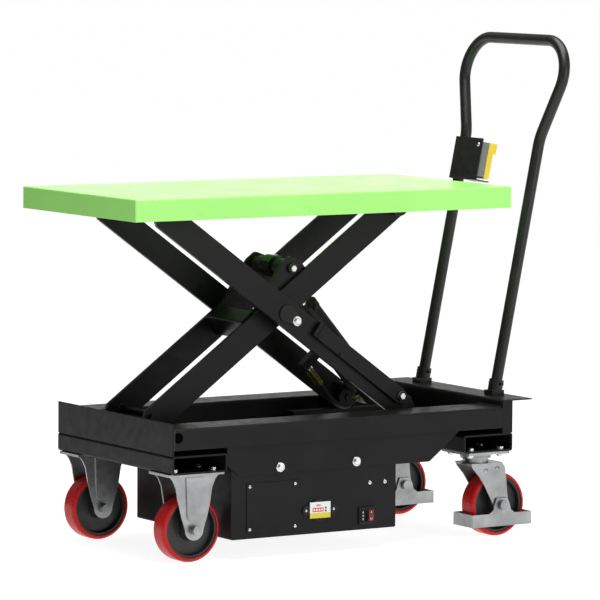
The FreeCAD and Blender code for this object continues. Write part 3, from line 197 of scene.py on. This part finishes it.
def make_materials():
    """One finish for each of the record's slots, and a few for small pieces."""
    return {
        "table_green": finish_of("table_green", (0.36, 0.86, 0.185), (0.41, 0.93, 0.22), (0.26, 0.36),
                                 grain=(700, 0.00003), cloud=3, specular=0.35, coat=0.08),
        "frame_black": finish_of("frame_black", (0.0060, 0.0062, 0.0060), (0.0095, 0.0097, 0.0093),
                                 (0.36, 0.50),
                                 grain=(1100, 0.00005), specular=0.17),
        "arm_black": finish_of("arm_black", (0.0058, 0.0060, 0.0056), (0.0090, 0.0092, 0.0086), (0.28, 0.42),
                               grain=(800, 0.00004), specular=0.18),
        "zinc": finish_of("zinc", (0.27, 0.277, 0.28), (0.42, 0.428, 0.432), (0.30, 0.46), 1.0,
                          grain=(500, 0.00003), cloud=22),
        "bright_zinc": finish_of("bright_zinc", (0.66, 0.66, 0.66), (0.80, 0.80, 0.79), (0.18, 0.32), 1.0,
                                 grain=(700, 0.00002), cloud=40),
        "dark_steel": finish_of("dark_steel", (0.008, 0.008, 0.008), (0.018, 0.017, 0.016), (0.34, 0.52),
                                0.15,
                                cloud=30, specular=0.25),
        "chrome_rod": finish_of("chrome_rod", (0.60, 0.61, 0.62), (0.70, 0.70, 0.71), (0.06, 0.14), 1.0,
                                grain=(1500, 0.000005)),
        "brass_fitting": finish_of("brass_fitting", (0.12, 0.115, 0.022), (0.24, 0.20, 0.055), (0.25, 0.42),
                                   0.9,
                                   cloud=60),
        "hose_rubber": finish_of("hose_rubber", (0.010, 0.010, 0.010), (0.020, 0.020, 0.019), (0.50, 0.66),
                                 grain=(1600, 0.00008), specular=0.3),
        "handle_black": finish_of("handle_black", (0.011, 0.0110, 0.0098), (0.017, 0.0165, 0.015),
                                  (0.26, 0.38),
                                  grain=(900, 0.00004), specular=0.36),
        "tread_red": finish_of("tread_red", (0.43, 0.010, 0.010), (0.55, 0.018, 0.018), (0.22, 0.34),
                               grain=(400, 0.00005), cloud=14, specular=0.2),
        "core_black": finish_of("core_black", (0.010, 0.010, 0.010), (0.020, 0.020, 0.019), (0.34, 0.5),
                                grain=(700, 0.00006), specular=0.5),
        "plastic_black": finish_of("plastic_black", (0.009, 0.009, 0.009), (0.014, 0.014, 0.014),
                                   (0.42, 0.55),
                                   grain=(2500, 0.00004), specular=0.22),
        "switch_red": finish_of("switch_red", (0.10, 0.003, 0.003), (0.16, 0.006, 0.006), (0.18, 0.28),
                                grain=(2000, 0.00002)),
        "control_grey": finish_of("control_grey", (0.16, 0.165, 0.17), (0.20, 0.205, 0.21), (0.45, 0.6),
                                  grain=(2600, 0.00006)),
        "control_yellow": finish_of("control_yellow", (0.80, 0.60, 0.015), (0.88, 0.68, 0.025), (0.34, 0.46),
                                    grain=(2600, 0.00004)),
        "battery_case": finish_of("battery_case", (0.03, 0.03, 0.033), (0.045, 0.045, 0.05), (0.5, 0.65),
                                  grain=(1800, 0.00008)),
        "pump_alloy": finish_of("pump_alloy", (0.40, 0.41, 0.43), (0.52, 0.53, 0.55), (0.4, 0.6), 0.9,
                                grain=(600, 0.0002), cloud=25),
        "label_white": finish_of("label_white", (0.78, 0.79, 0.79), (0.84, 0.84, 0.84), (0.3, 0.4)),
        "label_yellow": finish_of("label_yellow", (0.66, 0.58, 0.02), (0.72, 0.63, 0.03), (0.3, 0.4)),
        "label_red": finish_of("label_red", (0.62, 0.05, 0.05), (0.70, 0.08, 0.07), (0.3, 0.4)),
        "weld_bead": finish_of("weld_bead", (0.008, 0.008, 0.008), (0.016, 0.016, 0.016), (0.32, 0.5),
                               grain=(350, 0.0002), specular=0.4),
    }


# ---------------------------------------------------------------- mesh tools
def finish_piece(name, bm, body, material, sharp=SHARP_DEGREES, bevel=0.0, replaces=()):
    """Makes the bmesh an object with its material, which rides on a body."""
    bmesh.ops.recalc_face_normals(bm, faces=bm.faces)
    mesh = bpy.data.meshes.new(name)
    bm.to_mesh(mesh)
    bm.free()
    mesh.shade_smooth()
    mesh.set_sharp_from_angle(angle=math.radians(sharp))
    mesh.materials.append(MATERIALS[material])
    piece = bpy.data.objects.new(name, mesh)
    bpy.context.scene.collection.objects.link(piece)
    if bevel:
        add_bevel(piece, bevel)
    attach(piece, body)
    if replaces:
        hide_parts(*replaces)
    return piece


def add_bevel(piece, width):
    """Rounds the sharp edges, and keeps the flats flat in the shading."""
    modifier = piece.modifiers.new("edges", "BEVEL")
    modifier.width = width
    modifier.segments = 2
    modifier.limit_method = "ANGLE"
    modifier.angle_limit = math.radians(SHARP_DEGREES)
    modifier.miter_outer = "MITER_ARC"
    piece.modifiers.new("shading", "WEIGHTED_NORMAL").keep_sharp = False


def along(axis):
    """A turn that takes +Z to the given direction."""
    return Vector((0, 0, 1)).rotation_difference(Vector(axis)).to_matrix().to_4x4()


def add_turned(bm, sections, at, axis, sides=40):
    """Rings of (distance along the axis, radius); a zero radius closes an end."""
    turn = Matrix.Translation(at) @ along(axis)
    rings = []
    for distance, radius in sections:
        if radius == 0:
            rings.append([bm.verts.new(turn @ Vector((0, 0, distance)))])
            continue
        rings.append([bm.verts.new(turn @ Vector((radius * math.cos(a), radius * math.sin(a), distance)))
                      for a in (2 * math.pi * k / sides for k in range(sides))])
    for low, high in zip(rings, rings[1:]):
        for k in range(sides):
            after = (k + 1) % sides
            corners = [low[k % len(low)], low[after % len(low)], high[after % len(high)], high[k % len(high)]]
            unique = list(dict.fromkeys(corners))
            if len(unique) > 2:
                bm.faces.new(unique)


def add_box(bm, low, high, turn=None):
    """A block between two corners."""
    low, high = Vector(low), Vector(high)
    made = bmesh.ops.create_cube(bm, size=1, matrix=Matrix.Translation((low + high) / 2)
                                 @ Matrix.Diagonal((*(high - low), 1)))
    if turn:
        bmesh.ops.transform(bm, matrix=turn, verts=made["verts"])


def add_bead(bm, points, radius, closed=False, pitch=0.0035):
    """A rippled weld bead along a line."""
    points = [Vector(p) for p in points]
    if closed:
        points.append(points[0])
    stations = []
    for start, end in zip(points, points[1:]):
        steps = max(1, round((end - start).length / (pitch / 2)))
        stations += [start.lerp(end, k / steps) for k in range(steps)]
    if not closed:
        stations.append(points[-1])
    count = len(stations)
    rings = []
    for k, station in enumerate(stations):
        ahead = stations[(k + 1) % count] if closed else stations[min(k + 1, count - 1)]
        behind = stations[k - 1] if closed else stations[max(k - 1, 0)]
        turn = along((ahead - behind).normalized())
        size = radius * (1.0 if k % 2 else 0.82)
        rings.append([bm.verts.new(station + turn @ Vector((size * math.cos(a), size * math.sin(a), 0)))
                      for a in (math.pi * j / 4 for j in range(8))])
    pairs = list(zip(rings, rings[1:])) + ([(rings[-1], rings[0])] if closed else [])
    for low, high in pairs:
        for j in range(8):
            bm.faces.new((low[j], low[(j + 1) % 8], high[(j + 1) % 8], high[j]))
    if not closed:
        for ring in (rings[0], rings[-1]):
            bm.faces.new(ring)


def ring_points(at, radius, axis, steps=36):
    """Points round a circle."""
    turn = Matrix.Translation(at) @ along(axis)
    return [turn @ Vector((radius * math.cos(a), radius * math.sin(a), 0))
            for a in (2 * math.pi * k / steps for k in range(steps))]


def islands(node):
    """The box of each separate solid of a CAD node, from left to right."""
    bm = bmesh.new()
    bm.from_mesh(NODES[node].data)
    bmesh.ops.remove_doubles(bm, verts=bm.verts, dist=1e-6)
    seen, boxes = set(), []
    for start in bm.verts:
        if start in seen:
            continue
        stack, members = [start], []
        seen.add(start)
        while stack:
            vertex = stack.pop()
            members.append(vertex.co.copy())
            for edge in vertex.link_edges:
                other = edge.other_vert(vertex)
                if other not in seen:
                    seen.add(other)
                    stack.append(other)
        low = Vector([min(p[k] for p in members) for k in range(3)])
        high = Vector([max(p[k] for p in members) for k in range(3)])
        boxes.append((low, high))
    bm.free()
    return sorted(boxes, key=lambda b: (round(b[0].y, 4), round(b[0].x, 4)))


# ---------------------------------------------------------------- CAD nodes
BEVELS = {"table_top": 0.0006, "box_cover": 0.0003, "access_panel": 0.0006, "gauge_bezel": 0.0008,
          "control_cover": 0.0022, "control_case": 0.0016, "control_holder": 0.0006, "rocker_switch": 0.0006,
          "charge_inlet": 0.0006, "front_end_plate": 0.0009, "hanger_plates": 0.0007,
          "foot_guard_left": 0.0009, "foot_guard_right": 0.0009}
SMOOTH = ("push_handle", "hydraulic_hose", "piston_rod")
STAY_MOST = 0.013
EYE_REACH = 0.034
EDGE = 0.0008
SEAM = 0.00002
FLAT_DEGREES = 0.4


def rod_finish():
    """The piston rod's chrome, which ends in a black eye around the rod pin."""
    chrome = MATERIALS["chrome_rod"]
    tree = chrome.node_tree
    shader = tree.nodes["Principled BSDF"]
    place = tree.nodes.new("ShaderNodeTexCoord")
    reach = tree.nodes.new("ShaderNodeVectorMath")
    reach.operation = "DISTANCE"
    reach.inputs[1].default_value = JOINTS["rod_pivot"]["pos_m"]
    tree.links.new(place.outputs["Object"], reach.inputs[0])
    black = spread(tree, reach.outputs["Value"], 1, 0, EYE_REACH, EYE_REACH + 0.001)
    source = shader.inputs["Base Color"].links[0].from_socket
    blend = tree.nodes.new("ShaderNodeMix")
    blend.data_type = "RGBA"
    tree.links.new(black, blend.inputs["Factor"])
    tree.links.new(source, blend.inputs["A"])
    blend.inputs["B"].default_value = (0.008, 0.008, 0.008, 1)
    tree.links.new(blend.outputs["Result"], shader.inputs["Base Color"])
    tree.links.new(spread(tree, black, 1, 0, 0, 1), shader.inputs["Metallic"])


def dress_nodes():
    """Each CAD node gets its slot's finish, and a small round on its edges."""
    slots = {row["node"]: row["material_slot"] for row in frame["record"]["subparts"]}
    for name, node in NODES.items():
        node.data.materials.clear()
        node.data.materials.append(MATERIALS[slots[name]])
        if name in SMOOTH:
            continue
        node.data.shade_smooth()
        node.modifiers.new("joined", "WELD").merge_threshold = SEAM
        flat = node.modifiers.new("flats", "DECIMATE")
        flat.decimate_type = "DISSOLVE"
        flat.angle_limit = math.radians(FLAT_DEGREES)
        add_bevel(node, BEVELS.get(name, EDGE))


# ---------------------------------------------------------------- detail pieces
def hex_bolt(bm, at, axis, across, height, washer=0.0):
    """A chamfered hexagon head, on a washer if one is asked for."""
    at, axis = Vector(at), Vector(axis).normalized()
    if washer:
        add_turned(bm, [(0, 0), (0, washer), (0.0012, washer), (0.0018, washer * 0.96), (0.0018, 0)], at,
                   axis)
        at = at + axis * 0.0018
    add_turned(bm, [(0, 0), (0, across), (height * 0.78, across), (height, across * 0.84), (height, 0)], at,
               axis,
               sides=6)


def dome_screw(bm, at, axis, radius):
    """A domed screw head with a hexagon socket."""
    at, axis = Vector(at), Vector(axis).normalized()
    rise = radius * 0.62
    curve = [(rise * math.sin(t), radius * math.cos(t)) for t in (math.pi / 2 * k / 6 for k in range(6))]
    socket = radius * 0.42
    add_turned(bm, [(0, 0)] + curve + [(rise, socket), (rise * 0.45, socket), (rise * 0.45, 0)], at, axis,
               sides=24)


def chassis_bolts():
    """Hexagon bolts through the hangers and through the caster plates."""
    bm = bmesh.new()
    for low, high in islands("chassis_bolts"):
        middle = (low + high) / 2
        radius = (high.x - low.x) / 2
        if high.y - low.y < HANGER_BOLT_MOST:
            side = 1 if middle.y > 0 else -1
            face = low.y if side > 0 else high.y
            hex_bolt(bm, (middle.x, face, middle.z), (0, side, 0), radius * 0.72, 0.0052, washer=radius)
            continue
        if middle.x > 0:
            nut_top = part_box("swivel_plates")[0].z + SWIVEL_PLATE_DEPTH
            hex_bolt(bm, (middle.x, middle.y, nut_top), (0, 0, -1), radius, 0.0065)
        hex_bolt(bm, (middle.x, middle.y, high.z - CASTER_HEAD), (0, 0, 1), radius, 0.0050, washer=radius * 1.15)
        add_turned(bm, [(0, 0), (0, radius * 0.6), (high.z - low.z - 0.002, radius * 0.6),
                        (high.z - low.z - 0.002, 0)], (middle.x, middle.y, low.z), (0, 0, 1), sides=20)
    finish_piece("chassis_bolts_detail", bm, "root", "bright_zinc", replaces=["chassis_bolts"])


def screws():
    """Domed screws on the power box and on the hand control's holder."""
    bm = bmesh.new()
    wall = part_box("power_box")[0].y
    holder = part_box("control_holder")
    lean = Vector((JOINTS["up_button_press"]["axis"]))
    for low, high in islands("small_screws"):
        middle = (low + high) / 2
        radius = (high.z - low.z) / 2
        if middle.x > holder[0].x - 0.01 and middle.z > holder[0].z:
            dome_screw(bm, middle - lean * (0.5 * (high.x - low.x)) + lean * 0.001, lean, radius)
        elif middle.y < 0:
            dome_screw(bm, (middle.x, min(high.y, wall), middle.z), (0, -1, 0), radius)
    finish_piece("screw_heads", bm, "root", "bright_zinc", replaces=["small_screws"])


def pin_heads():
    """Bright bolt heads on the rod pin, the foot pin and the keeper plates."""
    for node, body, name in (("inner_arm_pins", "inner_arms", "rod_pin_bolts"),
                             ("outer_arm_pins", "outer_arms", "foot_pin_bolts")):
        widest = max(islands(node), key=lambda b: b[1].y - b[0].y)
        middle = (widest[0] + widest[1]) / 2
        bm = bmesh.new()
        for side in (-1, 1):
            face = widest[0].y if side < 0 else widest[1].y
            hex_bolt(bm, (middle.x, face - side * 0.003, middle.z), (0, side, 0), 0.0082, 0.0048,
                     washer=0.0112)
        if body == "outer_arms":
            centre = Vector(JOINTS["arm_cross"]["pos_m"])
            arm = (Vector(JOINTS["lower_roller_spin"]["pos_m"]) - centre).normalized()
            keeper = centre + arm * KEEPER_ALONG
            for side in (-1, 1):
                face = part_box("outer_arm_left")[0].y * -side
                hex_bolt(bm, (keeper.x, face + side * 0.004, keeper.z), (0, side, 0), 0.0085, 0.0052,
                         washer=0.0115)
        finish_piece(name, bm, body, "bright_zinc")


def stay_beads():
    """Weld beads where the round stays meet the inner arms."""
    bm = bmesh.new()
    reach = -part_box("inner_arm_left")[1].y
    for low, high in islands("inner_cross_tubes"):
        middle = (low + high) / 2
        radius = (high.z - low.z) / 2
        if radius > STAY_MOST:
            continue
        for side in (-1, 1):
            add_bead(bm, ring_points((middle.x, side * (reach - 0.001), middle.z), radius + 0.001, (0, 1, 0)),
                     0.0026, closed=True)
    finish_piece("stay_welds", bm, "inner_arms", "weld_bead", sharp=60)


def chassis_beads():
    """Weld beads between the rails, the end plate, the channels and the shelf."""
    bm = bmesh.new()
    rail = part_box("side_rail_left")
    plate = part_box("front_end_plate")
    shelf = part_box("rear_shelf")
    channel_top = rail[0].z
    for _, sign in SIDES:
        outside = sign * abs(rail[0].y)
        inside = sign * abs(rail[1].y)
        web = sign * RAIL_WEB
        add_bead(bm, [(plate[1].x, outside + sign * -0.001, rail[0].z + 0.014),
                      (plate[1].x, outside + sign * -0.001, rail[1].z)], 0.0026)
        add_bead(bm, [(plate[1].x, outside - sign * 0.006, rail[1].z), (plate[1].x, web, rail[1].z)], 0.0026)
        add_bead(bm, [(shelf[0].x, outside - sign * 0.006, rail[1].z), (shelf[0].x, web, rail[1].z)], 0.0026)
        add_bead(bm, [(plate[1].x, web - sign * 0.002, channel_top + 0.006),
                      (plate[1].x, inside, channel_top + 0.006)],
                 0.0024)
    finish_piece("chassis_welds", bm, "root", "weld_bead", sharp=60)


def gauge():
    """The charge gauge's face: white above, yellow below, with a red bar and two lamps."""
    low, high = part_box("gauge_bezel")
    centre = (low + high) / 2
    wide, tall = 0.0275, 0.0185
    face = low.y

    def slab(name, x, z, proud, material):
        bm = bmesh.new()
        add_box(bm, (centre.x + x[0], face - proud, centre.z + z[0]),
                (centre.x + x[1], face + 0.001, centre.z + z[1]))
        finish_piece(name, bm, "root", material, bevel=0.0003)

    slab("gauge_face", (-wide, wide), (-tall * 0.35, tall), 0.0012, "label_white")
    slab("gauge_stripe", (-wide, wide), (-tall, -tall * 0.35), 0.0012, "label_yellow")
    slab("gauge_window", (-0.021, 0.009), (-0.004, 0.0055), 0.0016, "label_red")
    for index in range(4):
        slab(f"gauge_bar_{index + 1}", (-0.019 + index * 0.007, -0.0145 + index * 0.007), (-0.0015, 0.0030),
             0.0020,
             "label_white")
    slab("gauge_legend", (-0.011, 0.001), (0.0095, 0.0125), 0.0015, "label_red")
    bm = bmesh.new()
    for z in (-0.0025, 0.0045):
        add_turned(bm, [(0, 0), (0, 0.0021), (0.0012, 0.0019), (0.0018, 0)], (centre.x + 0.0145, face - 0.001,
                                                                          centre.z + z), (0, -1, 0), sides=20)
    finish_piece("gauge_lamps", bm, "root", "plastic_black")


def inlet():
    """Pins in the charge socket, its raised rim, and the marks on the rocker."""
    low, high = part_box("charge_inlet")
    bm = bmesh.new()
    left, right = low.x + 0.004, low.x + 0.021
    middle = (low.z + high.z) / 2
    for z in (-0.008, 0, 0.008):
        add_box(bm, (left + 0.006, low.y + 0.0015, middle + z - 0.0022),
                (left + 0.008, high.y, middle + z + 0.0022))
    finish_piece("socket_pins", bm, "root", "bright_zinc", bevel=0.0002)
    bm = bmesh.new()
    for z in (-0.0145, 0.0135):
        add_box(bm, (left - 0.001, low.y - 0.0012, middle + z),
                (right + 0.001, low.y + 0.001, middle + z + 0.001))
    for x in (left - 0.0015, right + 0.0005):
        add_box(bm, (x, low.y - 0.0012, middle - 0.0145), (x + 0.001, low.y + 0.001, middle + 0.0145))
    finish_piece("socket_rim", bm, "root", "plastic_black", bevel=0.0003)
    rocker_low, rocker_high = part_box("rocker_switch")
    centre = (rocker_low + rocker_high) / 2
    bm = bmesh.new()
    add_box(bm, (centre.x - 0.0007, rocker_low.y + 0.0005, centre.z + 0.004),
            (centre.x + 0.0007, rocker_low.y + 0.004,
                                                                               centre.z + 0.0095))
    ring = ring_points((centre.x, rocker_low.y + 0.0009, centre.z - 0.0065), 0.0026, (0, 1, 0), 20)
    add_bead(bm, ring, 0.0006, closed=True, pitch=0.004)
    finish_piece("rocker_marks", bm, "rocker", "label_white")


def hose_fittings():
    """Crimped ferrule with a bright hexagon nut, and the elbow under the cylinder's foot."""
    boxes = islands("hose_fittings")
    barrel = Vector(JOINTS["cylinder_stroke"]["axis"])
    ferrule = max(boxes, key=lambda b: (b[1] - b[0]).length)
    elbow = min(boxes, key=lambda b: (b[1] - b[0]).length)
    centre = (ferrule[0] + ferrule[1]) / 2
    radius, length = 0.009, 0.056
    start = centre - barrel * (length / 2)
    bm = bmesh.new()
    add_turned(bm, [(0, 0), (0, 0.0105), (0.009, 0.0105), (0.010, 0.0088), (0.010, 0)], start, barrel,
               sides=6)
    finish_piece("hose_nut", bm, "barrel", "bright_zinc", bevel=0.0004)
    bm = bmesh.new()
    sections = [(0.010, 0), (0.010, radius * 0.86)]
    for ring in range(7):
        base = 0.012 + ring * 0.006
        sections += [(base, radius * 0.84), (base + 0.001, radius), (base + 0.0042, radius),
                     (base + 0.0052, radius * 0.84)]
    sections += [(length - 0.001, radius * 0.84), (length, radius * 0.7), (length, 0)]
    add_turned(bm, sections, start, barrel, sides=28)
    middle = (elbow[0] + elbow[1]) / 2
    up = Vector((-barrel.z, 0, barrel.x))
    add_turned(bm, [(0, 0), (0, 0.0068), (0.004, 0.0072), (0.005, 0.0080), (0.014, 0.0080), (0.014, 0)],
               middle - up * 0.007, up, sides=24)
    finish_piece("hose_ferrule", bm, "barrel", "brass_fitting", replaces=["hose_fittings"])


def prop_clip():
    """Stepped clip on the prop's upper end, and the small bolt on its lower edge."""
    pivot = Vector(JOINTS["prop_swing"]["pos_m"])
    arm = (Vector(JOINTS["lower_roller_spin"]["pos_m"]) - Vector(JOINTS["arm_cross"]["pos_m"])).normalized()
    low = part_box("maintenance_prop")[0]
    turn = Matrix.Translation(Vector((pivot.x, low.y, pivot.z))) @ Matrix((
        (arm.x, 0, -arm.z, 0), (0, 1, 0, 0), (arm.z, 0, arm.x, 0), (0, 0, 0, 1)))
    bm = bmesh.new()
    add_box(bm, (-0.288, -0.0015, -0.0175), (-0.268, 0.0095, 0.0175), turn)
    add_box(bm, (-0.277, -0.0028, -0.0165), (-0.270, 0.0010, 0.0165), turn)
    finish_piece("prop_clip", bm, "prop", "arm_black", bevel=0.0008)
    bm = bmesh.new()
    hex_bolt(bm, turn @ Vector((-0.196, 0.0005, -0.0135)), (0, -1, 0), 0.0045, 0.003, washer=0.006)
    finish_piece("prop_bolt", bm, "prop", "dark_steel")


def caster_details():
    """Race rings on the swivel plates, hub rings on the wheels, and embossing on the forks."""
    for name, _ in SIDES:
        spin = Vector(JOINTS[f"swivel_turn_{name}"]["pos_m"])
        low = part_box("swivel_plates")[0].z
        bm = bmesh.new()
        add_turned(bm, [(0, 0.026), (0, 0.030), (0.002, 0.0345), (0.006, 0.0375), (0.009, 0.0375),
                        (0.0115, 0.041),
                        (0.012, 0.041), (0.012, 0.026)], (spin.x, spin.y, low - 0.0002), (0, 0, 1), sides=56)
        finish_piece(f"race_ring_{name}", bm, "root", "zinc")
        for end in ("front", "rear"):
            hub = Vector(JOINTS[f"{end}_wheel_spin_{name}"]["pos_m"])
            bm = bmesh.new()
            for side in (-1, 1):
                add_turned(bm, [(0, 0.0090), (0.0285, 0.0090), (0.0285, 0.0115), (0.0278, 0.0135),
                                (0.0270, 0.0135),
                                (0.0270, 0.0175), (0.0280, 0.0185), (0.0280, 0.0215), (0.0265, 0.0225),
                                (0.0240, 0.0225)],
                           hub, (0, side, 0), sides=40)
            finish_piece(f"hub_rings_{end}_{name}", bm, f"{end}_wheel_{name}", "dark_steel")
        bm = bmesh.new()
        axle = Vector(JOINTS[f"rear_wheel_spin_{name}"]["pos_m"])
        for leg in (-1, 1):
            for x, z in ((-0.044, 0.156), (-0.012, 0.160)):
                add_turned(bm, [(-0.002, 0), (-0.002, 0.0075), (0.0003, 0.0068), (0.0018, 0.0046),
                                (0.0026, 0.002),
                                (0.0027, 0)], (axle.x + x, axle.y + leg * (FORK_FACE - 0.0006), z), (0, leg, 0),
                                sides=28)
        finish_piece(f"fork_dimples_{name}", bm, f"swivel_{name}", "zinc", sharp=50)


def control_marks():
    """Arrow marks and bezels on the hand control."""
    press = Vector(JOINTS["up_button_press"]["axis"])
    out = -press
    for name, arrow in (("up", 1), ("down", -1)):
        low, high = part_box(f"{name}_button")
        centre = (low + high) / 2
        face = centre + out * 0.007
        up = Vector((out.z * -1, 0, out.x))
        side = Vector((0, 1, 0))
        bm = bmesh.new()
        corners = [(-0.0045, -0.003), (0.0045, -0.003), (0, 0.0045)]
        ring_low = [bm.verts.new(face - out * 0.0004 + side * x + up * (z * arrow)) for x, z in corners]
        ring_high = [bm.verts.new(face + out * 0.0005 + side * x + up * (z * arrow)) for x, z in corners]
        bm.faces.new(ring_low)
        bm.faces.new(ring_high)
        for k in range(3):
            bm.faces.new((ring_low[k], ring_low[(k + 1) % 3], ring_high[(k + 1) % 3], ring_high[k]))
        finish_piece(f"{name}_arrow", bm, f"{name}_button", "label_white")
        bm = bmesh.new()
        at = centre + out * 0.0022
        add_turned(bm, [(0, 0.0097), (0, 0.0125), (0.0012, 0.0120), (0.0018, 0.0108), (0.0016, 0.0097),
                        (0, 0.0097)],
                   at, out, sides=40)
        finish_piece(f"{name}_button_bezel", bm, "root", "plastic_black")


MATERIALS = make_materials()
bpy.context.scene.view_settings.view_transform = "Standard"
make_camera()
make_studio()
rod_finish()
dress_nodes()
for detail in (chassis_bolts, screws, pin_heads, stay_beads, chassis_beads, gauge, inlet, hose_fittings,
               prop_clip, caster_details, control_marks):
    detail()
